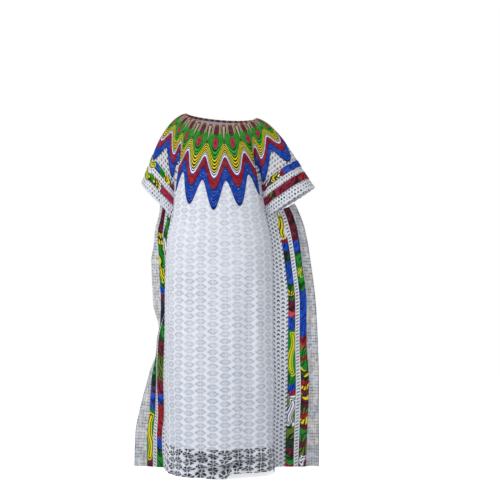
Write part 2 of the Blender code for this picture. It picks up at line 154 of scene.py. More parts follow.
def joined(share: Array, start: Array, leave: Array, end: Array, arrive: Array) -> Array:
    """Smooth curve from one value or point to another.

    Args:
        share: How far along, from 0 to 1.
        start: Where it starts.
        leave: Its slope there.
        end: Where it ends.
        arrive: Its slope there.

    Returns:
        The values at each share.
    """
    square, cube = share**2, share**3
    return ((2 * cube - 3 * square + 1) * start + (cube - 2 * square + share) * leave
            + (3 * square - 2 * cube) * end + (cube - square) * arrive)


def smoothed(points: Array, axis: int, spread: float, reach: int, closed: bool) -> Array:
    """Points smoothed along one axis, the near ones weighing most.

    Args:
        points: Grid of points.
        axis: Axis along which they are smoothed.
        spread: Standard deviation, in samples.
        reach: How many samples to either side count.
        closed: Whether the last sample is followed by the first.

    Returns:
        Smoothed points.
    """
    total = np.zeros_like(points)
    weights = 0.0
    count = points.shape[axis]
    for shift in range(-reach, reach + 1):
        weight = math.exp(-0.5 * (shift / spread) ** 2)
        places = np.arange(count) + shift
        places = places % count if closed else np.clip(places, 0, count - 1)
        total += weight * np.take(points, places, axis=axis)
        weights += weight
    return total / weights


def lengths_along(points: Array) -> Array:
    """Running length down the first axis of a run of points.

    Args:
        points: Points, with a last axis of 2 or 3.

    Returns:
        Lengths from the first point of each run.
    """
    steps = np.linalg.norm(np.diff(points, axis=0), axis=-1)
    start = np.zeros((1,) + steps.shape[1:])
    return np.concatenate((start, np.cumsum(steps, axis=0)))


@dataclass(frozen=True)
class Profile:
    """Values given at places and read between them by a smooth curve."""

    places: tuple[float, ...]
    values: tuple[float, ...]
    flat_ends: bool = False

    def at(self, where: Array | float) -> Array:
        """The value at each place.

        Args:
            where: Places to read.

        Returns:
            Values, one for each place.
        """
        x = np.array(self.places, dtype=float)
        y = np.array(self.values, dtype=float)
        if x[0] > x[-1]:
            x, y = x[::-1], y[::-1]
        step = np.diff(x)
        slope = np.diff(y) / step
        lean = np.zeros_like(y)
        same = slope[:-1] * slope[1:] > 0
        first = 2.0 * step[1:] + step[:-1]
        second = step[1:] + 2.0 * step[:-1]
        safe = np.where(slope == 0.0, 1.0, slope)
        blended = (first + second) / (first / safe[:-1] + second / safe[1:])
        lean[1:-1] = np.where(same, blended, 0.0)
        if not self.flat_ends:
            lean[0], lean[-1] = slope[0], slope[-1]
        where = np.clip(np.asarray(where, dtype=float), x[0], x[-1])
        row = np.clip(np.searchsorted(x, where, side="right") - 1, 0, len(x) - 2)
        t = (where - x[row]) / step[row]
        return joined(t, y[row], step[row] * lean[row], y[row + 1], step[row] * lean[row + 1])


# ---------- form of the robe


@dataclass(frozen=True)
class Fold:
    """One hanging fold of the body tube: a trough where its depth is positive.

    Its place and half width are in degrees round the tube. It grows from one height to another.
    """

    place: float
    half_width: float
    depth: float
    start: float
    full: float


@dataclass(frozen=True)
class Wave:
    """One wave of a cloth's ripples: its height, how many go round, its phase and its slants."""

    height: float
    count: float
    phase: float = 0.0
    sway: float = 0.0
    fall: float = 0.0

    def at(self, turn: Array, down: Array, swaying: Array | float = 0.0) -> Array:
        """Height of the wave.

        Args:
            turn: Angles round or places across the cloth.
            down: Places down the cloth.
            swaying: How far the ripples sway aside there.

        Returns:
            Heights, one for each place.
        """
        return self.height * np.sin(self.count * turn + self.phase + self.sway * swaying
                                    + self.fall * down)


@dataclass(frozen=True)
class Crease:
    """A soft crumple of the front hem, from one point to another in x and z."""

    start: tuple[float, float]
    end: tuple[float, float]
    depth: float
    width: float


@dataclass(frozen=True)
class SleeveEnd:
    """Hem of one sleeve: its tip, the depth of the mouth and the way the arm leaves."""

    tip: Vec
    front: float
    back: float
    arm: Vec


BODY_Z = (-0.408, -0.44, -0.50, -0.60, -0.74, -0.90, -1.05, -1.18, -1.275, -1.395)


@dataclass
class RobeForm:
    """The robe's shell: rays round the neck, and the tube below the underarm ring.

    Angles are in degrees from the front centre, positive towards the wearer's left. A ray runs
    from the neck edge down to the ring or, between the two raglan seams, to the sleeve's hem.
    """

    neck_half_width: float = 0.137
    neck_depth: tuple[float, float] = (0.085, 0.075)
    neck_drop: tuple[float, float] = (0.042, 0.010)
    neck_tilt: float = 0.011
    seams: tuple[float, float] = (50.0, 130.0)
    ring: float = -0.408
    centre_x: float = -0.004
    fullness: float = 2.3
    crowd: float = 1.2
    tilt: float = -0.027
    tilt_fades: float = -0.60
    petals: int = 18
    tip_reach: tuple[float, float] = (0.222, 0.342)
    valley_reach: tuple[float, float] = (0.145, 0.233)
    sharpness: float = 0.9
    raglan_depth: tuple[float, float] = (0.016, 0.009)
    raglan_trough: tuple[float, float] = (47.0, 5.0)
    raglan_ridge: tuple[float, float, float] = (60.0, 6.0, 0.55)
    raglan_grows: tuple[float, float] = (0.12, 0.47)
    raglan_fades: tuple[float, float] = (1.0, 0.78)
    sleeve_sector: tuple[float, float, float] = (52.0, 128.0, 18.0)
    sleeve_waves: tuple[Wave, ...] = (Wave(2.6 * MM, 13.0, 0.4, fall=1.5),
                                      Wave(1.56 * MM, 21.0, fall=-2.0))
    sleeve_grows: tuple[float, float] = (0.35, 0.85)
    shoulder_wave: Wave = Wave(1.1 * MM, 12.0, 0.8)
    shoulder_ends: float = 0.3
    tube_sway: Wave = Wave(0.6, 2.0, fall=5.0)
    tube_waves: tuple[Wave, ...] = (
        Wave(1.5 * MM, 9.0, 1.1, 1.0), Wave(1.0 * MM, 15.0, -0.7, -1.5),
        Wave(0.7 * MM, 23.0, fall=7.0))
    tube_grows: tuple[float, float] = (-0.42, -0.77)
    tube_swells: tuple[float, float] = (-0.80, -1.30)
    seam_calm: tuple[float, float] = (12.0, 14.0)
    crease_squash: float = 0.45
    hem_lift: float = 0.017
    hem_lift_down: tuple[float, float] = (-1.27, -1.39)
    hem_lift_across: tuple[float, float] = (0.045, 0.075)
    step: float = 0.5
    spread: float = 3.0
    samples: int = 121
    half_width: Profile = Profile(
        BODY_Z, (0.183, 0.191, 0.203, 0.209, 0.211, 0.211, 0.215, 0.212, 0.211, 0.214))
    front: Profile = Profile(
        BODY_Z, (0.150, 0.153, 0.158, 0.161, 0.161, 0.163, 0.166, 0.168, 0.169, 0.172))
    back: Profile = Profile(
        BODY_Z, (0.125, 0.127, 0.131, 0.136, 0.141, 0.146, 0.150, 0.152, 0.154, 0.156))
    leave_slope: Profile = Profile(
        (0, 25, 50, 70, 90, 110, 130, 155, 180), (50, 46, 34, 19, 13, 17, 28, 38, 42), True)
    leave_pull: Profile = Profile(
        (0, 25, 50, 70, 90, 110, 130, 155, 180),
        (0.30, 0.30, 0.26, 0.27, 0.29, 0.27, 0.28, 0.32, 0.34), True)
    arm_share: Profile = Profile(
        (0, 40, 50, 60, 90, 120, 130, 140, 180), (0, 0, 0.30, 0.75, 1.0, 0.75, 0.30, 0, 0), True)
    inward: Profile = Profile(
        (0, 40, 50, 60, 90, 120, 130, 140, 180),
        (0, 0, 0.30, 0.10, 0, -0.10, -0.30, 0, 0), True)
    arrive_pull: Profile = Profile(
        (0, 40, 50, 60, 90, 120, 130, 140, 180),
        (0.34, 0.34, 0.34, 0.32, 0.33, 0.32, 0.34, 0.36, 0.36), True)
    left: SleeveEnd = SleeveEnd((0.3675, 0.020, -0.290), 0.080, 0.066, (0.60, 0.02, -0.80))
    right: SleeveEnd = SleeveEnd((-0.3270, 0.052, -0.268), 0.066, 0.066, (-0.40, 0.10, -0.91))
    folds: tuple[Fold, ...] = (
        Fold(36, 15, 0.012, -0.55, -0.80), Fold(-52, 14, 0.007, -0.85, -1.25),
        Fold(66, 14, -0.008, -0.90, -1.30), Fold(6, 16, -0.004, -0.95, -1.35),
        Fold(-24, 15, -0.005, -1.05, -1.35), Fold(118, 16, 0.010, -0.50, -0.95),
        Fold(150, 15, -0.008, -0.60, -1.10), Fold(180, 17, 0.013, -0.45, -0.90),
        Fold(-150, 15, -0.009, -0.70, -1.20), Fold(-122, 16, 0.011, -0.55, -1.00),
        Fold(-71, 17, 0.009, -0.46, -0.66))
    creases: tuple[Crease, ...] = (
        Crease((-0.085, -1.330), (0.130, -1.306), 0.022, 0.012),
        Crease((-0.030, -1.368), (0.230, -1.334), 0.030, 0.015),
        Crease((-0.175, -1.356), (-0.050, -1.336), 0.014, 0.013),
        Crease((-0.050, -1.343), (0.090, -1.341), -0.011, 0.012),
        Crease((0.010, -1.390), (0.050, -1.386), -0.017, 0.018))

    def __post_init__(self) -> None:
        """Lay out the rays once."""
        self.angles = np.arange(-180.0, 180.0, self.step)
        self.rays, self.ray_lengths = self.lay_rays()

    def neck(self, angle: Array) -> Array:
        """Points of the neck edge.

        Args:
            angle: Ray angles.

        Returns:
            Points, with a last axis of 3.
        """
        turn = np.radians(angle)
        sine, cosine = np.sin(turn), np.cos(turn)
        depth = np.where(cosine > 0, *self.neck_depth)
        drop = np.where(cosine > 0, *self.neck_drop)
        height = -self.neck_tilt * (1.0 + sine) - drop * np.abs(cosine) ** 1.3
        return np.stack((self.neck_half_width * sine, -depth * cosine, height), axis=-1)

    def place(self, ray: Array) -> Array:
        """Place round the tube of front or back rays.

        Args:
            ray: Ray angles.

        Returns:
            Angles, 0 at the front centre and 90 at the side seams.
        """
        ray = folded(ray)
        side = np.where(ray >= 0, 1.0, -1.0)
        front = 90.0 * (np.abs(ray) / self.seams[0]) ** self.crowd
        rest = np.clip((180.0 - np.abs(ray)) / (180.0 - self.seams[1]), 0.0, None)
        back = 180.0 - 90.0 * rest ** self.crowd
        return side * np.where(np.abs(ray) <= self.seams[0], front, back)

    def fold_depth(self, place: Array, z: Array) -> Array:
        """Depth of all hanging folds, kept off the side seams.

        Args:
            place: Places round the tube.
            z: Heights.

        Returns:
            Depths, inwards.
        """
        total = np.zeros(np.broadcast(place, z).shape)
        for fold in self.folds:
            away = np.minimum(np.abs(folded(place - fold.place)) / fold.half_width, 1.0)
            depth = fold.depth * grown(z, fold.start, fold.full)
            total = total + depth * np.cos(0.5 * np.pi * away) ** 2
        return total * grown(np.abs(np.abs(place) - 90.0), 0.0, self.seam_calm[0])

    def ripples(self, place: Array, z: Array) -> Array:
        """Small soft ripples of the hanging cloth, kept off the side seams.

        Args:
            place: Places round the tube.
            z: Heights.

        Returns:
            Heights of the ripples, outwards.
        """
        turn = np.radians(place)
        sway = self.tube_sway.at(turn, z)
        total = sum(wave.at(turn, z, sway) for wave in self.tube_waves)
        size = grown(z, *self.tube_grows) * (0.55 + 0.45 * grown(z, *self.tube_swells))
        return total * size * grown(np.abs(np.abs(place) - 90.0), 0.0, self.seam_calm[1])

    def hem_crumple(self, points: Array) -> Array:
        """How far the front hem's creases go in.

        Args:
            points: Points of the tube.

        Returns:
            Depths, one for each point.
        """
        total = np.zeros(points.shape[:-1])
        for crease in self.creases:
            start, end = np.array(crease.start), np.array(crease.end)
            span = end - start
            flat = points[..., (0, 2)] - start
            along = (flat @ span) / float(span @ span)
            held = np.clip(along, 0.0, 1.0)
            away = np.linalg.norm((flat - held[..., None] * span) * (self.crease_squash, 1.0),
                                  axis=-1)
            total += crease.depth * np.exp(-(away / crease.width) ** 2)
        front = points[..., 1] < -0.02
        return np.where(front, total, 0.0)

    def tube(self, ray: Array, z: Array, worn: bool = True) -> Array:
        """Points of the body tube.

        Args:
            ray: Ray angles.
            z: Heights, of a shape that broadcasts with the rays.
            worn: Whether the small ripples and the hem's crumple are added.

        Returns:
            Points, with a last axis of 3.
        """
        place = self.place(ray)
        turn = np.radians(place)
        sine, cosine = np.sin(turn), np.cos(turn)
        power = 2.0 / self.fullness
        across = np.sign(sine) * np.abs(sine) ** power
        along = np.sign(cosine) * np.abs(cosine) ** power
        depth = np.where(cosine > 0, self.front.at(z), self.back.at(z))
        inwards = self.fold_depth(place, z)
        if worn:
            inwards = inwards - self.ripples(place, z)
        x = self.half_width.at(z) * across - inwards * sine + self.centre_x
        y = -depth * along + inwards * cosine
        z = z + self.tilt * x * grown(z, self.tilt_fades, 0.0)
        points = np.stack(np.broadcast_arrays(x, y, z), axis=-1)
        if worn:
            points[..., 1] += self.hem_crumple(points)
            low = grown(points[..., 2], *self.hem_lift_down) * (points[..., 1] < 0.0)
            points[..., 2] += self.hem_lift * low * grown(points[..., 0], *self.hem_lift_across)
        return points

    def mouth(self, angle: Array) -> Array:
        """Points of the sleeve hems: open loops, pointed at the underarm.

        Args:
            angle: Ray angles.

        Returns:
            Points, with a last axis of 3.
        """
        angle = folded(angle)
        ends = (self.left, self.right)
        row = np.where(angle >= 0, 0, 1)
        corner = self.tube(np.array((self.seams[0], -self.seams[0])), np.array(self.ring), False)
        low = corner[row]
        tip = np.array([end.tip for end in ends])[row]
        turn = np.pi * (np.abs(angle) - 90.0) / (self.seams[1] - 90.0)
        share = 0.5 + 0.5 * np.cos(turn)
        across = np.sign(turn) * share * np.sqrt(1.0 - share) / (2.0 / 27.0 ** 0.5)
        front = np.array([end.front for end in ends])[row]
        back = np.array([end.back for end in ends])[row]
        points = low + (tip - low) * share[:, None]
        points[:, 1] += np.where(turn > 0, back, front) * across
        return points

    def lay_rays(self) -> tuple[Array, Array]:
        """All rays from the neck edge to the ring or the sleeve hems.

        Returns:
            Points at even shares of each ray's length, and the lengths.
        """
        angle = self.angles
        turn = np.radians(angle)
        steep = np.abs(angle)
        slope = np.radians(self.leave_slope.at(steep))
        leave = np.stack((np.sin(turn) * np.cos(slope), -np.cos(turn) * np.cos(slope),
                          -np.sin(slope)), axis=-1)
        arms = np.array([self.left.arm, self.right.arm])[np.where(angle >= 0, 0, 1)]
        share = self.arm_share.at(steep)[:, None]
        arrive = share * arms + (1.0 - share) * np.array((0.0, 0.0, -1.0))
        arrive[:, 1] += self.inward.at(steep)
        sleeve = (steep > self.seams[0]) & (steep < self.seams[1])
        end = np.where(sleeve[:, None], self.mouth(angle),
                       self.tube(angle, np.array(self.ring), False))
        leave = leave * self.leave_pull.at(steep)[:, None]
        arrive = unit(arrive) * self.arrive_pull.at(steep)[:, None]
        share = np.linspace(0.0, 1.0, self.samples)[:, None, None]
        curves = self.even(joined(share, self.neck(angle), leave, end, arrive))
        spread = self.spread / self.step
        soft = smoothed(curves, 1, spread, int(3 * spread), True)
        curves = curves + (soft - curves) * (1.0 - grown(share, 0.80, 1.0))
        curves = curves + self.drape(curves)
        return curves, lengths_along(curves)[-1]

    def even(self, curves: Array) -> Array:
        """The same curves, sampled at even shares of their length.

        Args:
            curves: Samples by rays by 3.

        Returns:
            Curves of the same shape.
        """
        run = lengths_along(curves)
        evened = np.empty_like(curves)
        for column in range(curves.shape[1]):
            places = np.linspace(0.0, run[-1, column], curves.shape[0])
            for axis in range(3):
                evened[:, column, axis] = np.interp(places, run[:, column], curves[:, column, axis])
        return evened

    def drape(self, curves: Array) -> Array:
        """Soft folds of shoulders and sleeves, and the tuck along each raglan seam.

        Args:
            curves: Samples by rays by 3.

        Returns:
            Shifts of the same shape, to be added to the rays.
        """
        closed = np.concatenate((curves[:, -1:], curves, curves[:, :1]), axis=1)
        normals = normals_of(closed, np.array((0.0, 0.0, 1.0)))[:, 1:-1]
        share = np.linspace(0.0, 1.0, self.samples)[:, None]
        turn = np.radians(self.angles)[None, :]
        steep = np.abs(self.angles)[None, :]
        first, last, soft = self.sleeve_sector
        sleeve = grown(steep, first, first + soft) * grown(steep, last, last - soft)
        hang = sum(wave.at(turn, share) for wave in self.sleeve_waves)
        hang = hang * sleeve * grown(share, *self.sleeve_grows)
        middle, width = self.raglan_trough
        tuck = np.exp(-((steep - middle) / width) ** 2)
        middle, width, size = self.raglan_ridge
        tuck = tuck - size * np.exp(-((steep - middle) / width) ** 2)
        tuck = tuck * np.where(self.angles >= 0, *self.raglan_depth)[None, :]
        tuck = tuck * grown(share, *self.raglan_grows) * grown(share, *self.raglan_fades)
        body = self.shoulder_wave.at(turn, share) * (1.0 - sleeve)
        body = body * grown(share, 0.0, self.shoulder_ends)
        body = body * grown(share, 1.0, 1.0 - self.shoulder_ends)
        return normals * (hang + body - tuck)[..., None]

    def reach(self, angle: Array) -> Array:
        """Reach of the yoke from the neck edge, with its points and valleys.

        Args:
            angle: Ray angles.

        Returns:
            Lengths along the rays.
        """
        facing = np.cos(np.radians(angle)) ** 2
        tip = self.tip_reach[0] + (self.tip_reach[1] - self.tip_reach[0]) * facing
        valley = self.valley_reach[0] + (self.valley_reach[1] - self.valley_reach[0]) * facing
        wave = (0.5 + 0.5 * np.cos(np.radians(self.petals * angle))) ** self.sharpness
        return valley + (tip - valley) * wave

    def columns(self, start: float, end: float, skip: int = 1) -> Array:
        """Indices of the rays from one angle to another, the last one included.

        Args:
            start: Angle of the first ray.
            end: Angle of the last one.
            skip: How many rays go to one index.

        Returns:
            Indices.
        """
        count = int(round((end - start) / self.step / skip))
        first = int(round((start + 180.0) / self.step))
        return (first + skip * np.arange(count + 1)) % len(self.angles)

    def ray_points(self, columns: Array, lengths: Array) -> Array:
        """Points at given lengths along some rays.

        Args:
            columns: Indices of the rays.
            lengths: Rows by columns, in metres from the neck edge.

        Returns:
            Rows by columns by 3.
        """
        share = lengths / self.ray_lengths[columns] * (self.samples - 1)
        low = np.clip(np.floor(share).astype(int), 0, self.samples - 2)
        part = (share - low)[..., None]
        return (1.0 - part) * self.rays[low, columns] + part * self.rays[low + 1, columns]


# ---------- meshes


def cloth_sheet(name: str, points: Array, facing: Array, marks: Array,
                wall: float, ring: bool = False) -> bpy.types.Object:
    """A thin closed shell of cloth on a grid of points.

    Args:
        name: Name of the piece.
        points: Rows by columns by 3, the outer skin; a ring repeats its first column.
        facing: Outward directions, one or one for each point.
        marks: Rows by columns by 2, the cloth's own coordinates.
        wall: Thickness, laid inwards.
        ring: Whether the last column is sewn to the first.

    Returns:
        The piece, at the origin.
    """
    rows, columns = points.shape[:2]
    bpy.ops.object.select_all(action="DESELECT")
    bpy.ops.mesh.primitive_grid_add(x_subdivisions=columns - 1, y_subdivisions=rows - 1,
                                    size=1.0, location=(0.0, 0.0, 0.0))
    piece = bpy.context.object
    piece.name = name
    mesh = piece.data
    mesh.name = name
    mesh.vertices.foreach_set("co", points.reshape(-1))
    layer = mesh.uv_layers[0]
    layer.name = "cloth"
    corners = np.empty(len(mesh.loops), dtype=np.int32)
    mesh.loops.foreach_get("vertex_index", corners)
    layer.data.foreach_set("uv", marks.reshape(-1, 2)[corners].reshape(-1))
    mesh.update()
    normals = np.empty(len(mesh.polygons) * 3)
    mesh.polygons.foreach_get("normal", normals)
    starts = np.empty(len(mesh.polygons), dtype=np.int32)
    mesh.polygons.foreach_get("loop_start", starts)
    lean = np.broadcast_to(facing, points.shape).reshape(-1, 3)[corners[starts]]
    inward = float((normals.reshape(-1, 3) * lean).sum()) < 0.0
    bpy.ops.object.mode_set(mode="EDIT")
    bpy.ops.mesh.select_all(action="SELECT")
    if ring:
        bpy.ops.mesh.remove_doubles(threshold=1e-5)
    if inward:
        bpy.ops.mesh.flip_normals()
    bpy.ops.object.mode_set(mode="OBJECT")
    solid = piece.modifiers.new("wall", "SOLIDIFY")
    solid.thickness = wall
    solid.offset = -1.0
    solid.use_even_offset = False
    bpy.ops.object.modifier_apply(modifier=solid.name)
    bpy.ops.object.shade_smooth_by_angle(angle=math.radians(50.0))
    return piece


def dress(piece: bpy.types.Object, material: bpy.types.Material,
          nodes: tuple[str, ...]) -> bpy.types.Object:
    """Give a piece its finish and tell the frame what it stands for.

    Args:
        piece: The piece.
        material: Its finish.
        nodes: Solids that it takes the place of.

    Returns:
        The same piece.
    """
    piece.data.materials.clear()
    piece.data.materials.append(material)
    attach(piece, "root")
    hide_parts(*nodes)
    LOG.info("%s: %d faces", piece.name, len(piece.data.polygons))
    return piece


# ---------- finishes


class Kind(Enum):
    """Kinds of node: Blender's type, the inputs given in turn, the output read, and settings."""

    MATH = ("ShaderNodeMath", (0, 1, 2), 0, {})
    MIX = ("ShaderNodeMix", (0, 6, 7), 2, {"data_type": "RGBA"})
    RANGE = ("ShaderNodeMapRange", ("Value", "From Min", "From Max", "To Min", "To Max"), 0, {})
    RAMP = ("ShaderNodeValToRGB", (0,), 0, {})
    MARKS = ("ShaderNodeUVMap", (), 0, {"uv_map": "cloth"})
    SPLIT = ("ShaderNodeSeparateXYZ", (0,), 0, {})
    PLACE = ("ShaderNodeTexCoord", (), "Object", {})
    CLOUDS = ("ShaderNodeTexNoise", ("Vector", "Scale", "Detail"), 0, {})
    CELLS = ("ShaderNodeTexVoronoi", ("Vector", "Scale"), "Distance", {})
    RELIEF = ("ShaderNodeBump", ("Height", "Distance", "Strength", "Normal"), 0, {})
    SEEN = ("ShaderNodeLightPath", (), "Is Camera Ray", {})


class Field:
    """A number or colour that varies over a piece, joined up by ordinary arithmetic."""

    def __init__(self, wiring: "Wiring", socket: bpy.types.NodeSocket) -> None:
        """Keep the output that gives the value, and the wiring it belongs to."""
        self.wiring, self.socket = wiring, socket

    def __add__(self, other: "Number") -> "Field":
        """Sum of two numbers."""
        return self.wiring.add(Kind.MATH, self, other, operation="ADD")

    def __sub__(self, other: "Number") -> "Field":
        """This number less another."""
        return self.wiring.add(Kind.MATH, self, other, operation="SUBTRACT")

    def __rsub__(self, other: float) -> "Field":
        """Another number less this one."""
        return self.wiring.add(Kind.MATH, other, self, operation="SUBTRACT")

    def __mul__(self, other: "Number") -> "Field":
        """Product of two numbers."""
        return self.wiring.add(Kind.MATH, self, other, operation="MULTIPLY")

    def __truediv__(self, other: "Number") -> "Field":
        """This number over another."""
        return self.wiring.add(Kind.MATH, self, other, operation="DIVIDE")

    def __mod__(self, other: float) -> "Field":
        """What is left of this number after whole others."""
        return self.wiring.add(Kind.MATH, self, other, operation="MODULO")

    def __pow__(self, other: float) -> "Field":
        """This number to a power."""
        return self.wiring.add(Kind.MATH, self, other, operation="POWER")

    def __gt__(self, other: float) -> "Field":
        """One where this number is the larger, nought elsewhere."""
        return self.wiring.add(Kind.MATH, self, other, operation="GREATER_THAN")

    def __or__(self, other: "Number") -> "Field":
        """The larger of two numbers: one share or the other."""
        return self.wiring.add(Kind.MATH, self, other, operation="MAXIMUM")

    def __abs__(self) -> "Field":
        """Size of the number."""
        return self.wiring.add(Kind.MATH, self, operation="ABSOLUTE")

    def nearest(self, pitch: float) -> "Field":
        """Number of the nearest step of a pitch."""
        return self.wiring.add(Kind.MATH, self / pitch, operation="ROUND")

    def wave(self, pitch: float, shape: str = "SINE") -> "Field":
        """A wave of a given length, from -1 to 1."""
        return self.wiring.add(Kind.MATH, self * (2.0 * math.pi / pitch), operation=shape)

    def step(self, low: float, high: float) -> "Field":
        """Smooth step up from 0 to 1, or down to 0 where the first limit is the larger.

        Args:
            low: Where the step is 0.
            high: Where it is 1.

        Returns:
            The step.
        """
        if low > high:
            return 1.0 - self.step(high, low)
        return self.wiring.add(Kind.RANGE, self, low, high, interpolation_type="SMOOTHSTEP")

    def inside(self, low: float, high: float, soft: float) -> "Field":
        """One between two limits and nought outside them, with soft edges."""
        return self.step(low - soft, low + soft) * self.step(high + soft, high - soft)


Number = Field | float


class Wiring:
    """Adds nodes to the tree of a material or of the sky."""

    def __init__(self, tree: bpy.types.NodeTree) -> None:
        """Keep the tree."""
        self.tree = tree

    def add(self, kind: Kind, *values: Number | Tint, **settings: str) -> Field:
        """Add a node with its settings and links.

        Args:
            kind: What the node does.
            values: Numbers, tints or fields for its inputs, in the order that its kind has.
            settings: Its own settings, besides those of its kind.

        Returns:
            What the node gives.
        """
        name, inputs, output, always = kind.value
        node = self.tree.nodes.new(name)
        for key, setting in {**always, **settings}.items():
            setattr(node, key, setting)
        for key, value in zip(inputs, values):
            if isinstance(value, Field):
                self.tree.links.new(value.socket, node.inputs[key])
            else:
                node.inputs[key].default_value = getattr(value, "linear", value)
        return Field(self, node.outputs[output])


@dataclass(frozen=True)
class Uneven:
    """Cloudy unevenness of a cloth: where the clouds set in and are full, and their share."""

    size: float
    detail: float
    low: float
    high: float
    share: float = 1.0


@dataclass(frozen=True)
class Relief:
    """A relief of the cloth: its height and strength, and the size and detail of what repeats."""

    height: float
    strength: float
    size: float = 0.0
    detail: float = 2.0


class Painter(Wiring):
    """Builds the material of one finish."""

    def __init__(self, name: str, roughness: float, sheen: float = 0.0,
                 specular: float = 0.25) -> None:
        """Start a material with a Principled shader.

        Args:
            name: Name of the material.
            roughness: Roughness of the cloth.
            sheen: Weight of the sheen that short fibres give.
            specular: Level of the specular reflection, low because cloth is full of air.
        """
        self.material = bpy.data.materials.new(name)
        self.material.use_nodes = True
        super().__init__(self.material.node_tree)
        self.shader = self.tree.nodes["Principled BSDF"]
        self.shader.inputs["Roughness"].default_value = roughness
        self.shader.inputs["Sheen Weight"].default_value = sheen
        self.shader.inputs["Specular IOR Level"].default_value = specular

    def bands(self, value: Field, start: float, stops: Stops) -> Field:
        """Colours in a row along a value, each up to its own end.

        Args:
            value: The place along the row.
            start: Where the first colour starts.
            stops: End and colour of each stretch in turn.

        Returns:
            The colour.
        """
        result: Field | None = None
        begin = start
        for first in range(0, len(stops), RAMP_ROOM):
            part = stops[first:first + RAMP_ROOM]
            end = part[-1][0]
            colours = self.add(Kind.RAMP, self.add(Kind.RANGE, value, begin, end))
            ramp = colours.socket.node.color_ramp
            ramp.interpolation = "CONSTANT"
            ramp.elements.remove(ramp.elements[-1])
            place = begin
            for stop, tint in part:
                spot = (place - begin) / (end - begin)
                element = ramp.elements[0] if place == begin else ramp.elements.new(spot)
                element.position = spot
                element.color = tint.linear
                place = stop
            if result is not None:
                colours = self.add(Kind.MIX, value > begin, result, colours)
            result = colours
            begin = end
        return result

    def cloth_marks(self) -> tuple[Field, Field]:
        """The cloth's own two coordinates.

        Returns:
            One field for each, in the units that the piece's class gives them.
        """
        first = self.add(Kind.SPLIT, self.add(Kind.MARKS))
        return first, Field(self, first.socket.node.outputs[1])

    def clouds(self, size: float, detail: float = 2.0) -> Field:
        """Soft clouds about a size apart in the piece's own space, from 0 to 1."""
        return self.add(Kind.CLOUDS, self.add(Kind.PLACE), 1.0 / size, detail)

    def patches(self, uneven: Uneven) -> Field:
        """Clouds with clear ground between them, from 0 to the share that they have."""
        return self.clouds(uneven.size, uneven.detail).step(uneven.low, uneven.high) * uneven.share

    def woven(self, relief: Relief) -> Field:
        """Relief of a plain weave."""
        warp, weft = (place.wave(relief.size) for place in self.cloth_marks())
        return self.add(Kind.RELIEF, warp * weft * 0.5 + 0.5, relief.height, relief.strength)

    def crumpled(self, relief: Relief, *under: Field) -> Field:
        """Relief of soft crumples, with a finer one under it where there is one."""
        height = self.clouds(relief.size, relief.detail)
        return self.add(Kind.RELIEF, height, relief.height, relief.strength, *under)

    def finish(self, colour: Field, relief: Field) -> bpy.types.Material:
        """Join colour and relief to the shader.

        Args:
            colour: Base colour.
            relief: Normals of the relief.

        Returns:
            The finished material.
        """
        self.tree.links.new(colour.socket, self.shader.inputs["Base Color"])
        self.tree.links.new(relief.socket, self.shader.inputs["Normal"])
        return self.material


@dataclass(frozen=True)
class Rings:
    """Almond rings of cut openings, each column half a row lower than the last.

    The openings lie between two shares of the almond. Spokes of -1 leave no threads between
    them, and the fill is how open the thin ground inside each almond is.
    """

    low: float
    high: float
    spokes: float
    fill: float = 0.0
    column_pitch: float = 47.0 * MM
    row_pitch: float = 26.3 * MM
    column_shift: float = 3.682 * MM
    columns_a_turn: float = 2.618
    almond: tuple[float, float] = (23.2 * MM, 12.2 * MM)
    roundness: float = 1.45
    petals: float = 6.0
    soft: float = 0.10
    spoke_soft: float = 0.33
    inner: tuple[float, float] = (1.05, 0.70)
    rim: tuple[float, float] = (0.24, 1.08)
    rim_height: float = 0.4
    net: tuple[float, float] = (1.06, 1.20)
    net_height: float = 0.8

    def draw(self, across: Field, down: Field) -> tuple[Field, Field]:
        """Draw the lace.

        Args:
            across: Place across the cloth.
            down: Place down the cloth.

        Returns:
            How open the lace is, and its relief.
        """
        column = across.nearest(self.column_pitch)
        lowered = down + abs(column) % 2.0 * (0.5 * self.row_pitch)
        # Each column has a shift of its own, as in lace that is embroidered row by row.
        lowered = lowered + column.wave(self.columns_a_turn) * self.column_shift
        row = lowered.nearest(self.row_pitch)
        wide = (across - column * self.column_pitch) / self.almond[0]
        tall = (lowered - row * self.row_pitch) / self.almond[1]
        reach = (abs(wide) ** self.roundness + abs(tall) ** self.roundness) ** (
            1.0 / self.roundness)
        turn = wide.wiring.add(Kind.MATH, tall, wide, operation="ARCTAN2")
        petal = turn.wave(2.0 * math.pi / self.petals, "COSINE")
        ring = reach.inside(self.low, self.high, self.soft)
        opening = ring * petal.step(self.spokes, self.spokes + self.spoke_soft)
        opening = opening | reach.step(*self.inner) * self.fill
        rim = reach.inside(*self.rim, self.soft) * self.rim_height
        return opening, rim + reach.step(*self.net) * self.net_height - opening


@dataclass(frozen=True)
class Eyelets:
    """Rows of round or oval eyelets, every other row shifted by half.

    Edges and rim are shares of the half height of an eyelet. Long is how many times as wide
    as tall it is.
    """

    pitch: float
    line: float
    size: float
    long: float = 1.0
    edge: tuple[float, float] = (1.25, 0.85)
    rim: tuple[float, float, float] = (1.1, 1.8, 0.2)
    rim_height: float = 0.7

    def draw(self, across: Field, down: Field) -> tuple[Field, Field]:
        """Draw the lace.

        Args:
            across: Place across the cloth.
            down: Place down the cloth.

        Returns:
            How open the lace is, and its relief.
        """
        row = down.nearest(self.line)
        shifted = across + abs(row) % 2.0 * (0.5 * self.pitch)
        x = (shifted - shifted.nearest(self.pitch) * self.pitch) / self.long
        y = down - row * self.line
        away = (x * x + y * y) ** 0.5 / self.size
        opening = away.step(*self.edge)
        return opening, away.inside(*self.rim) * self.rim_height - opening


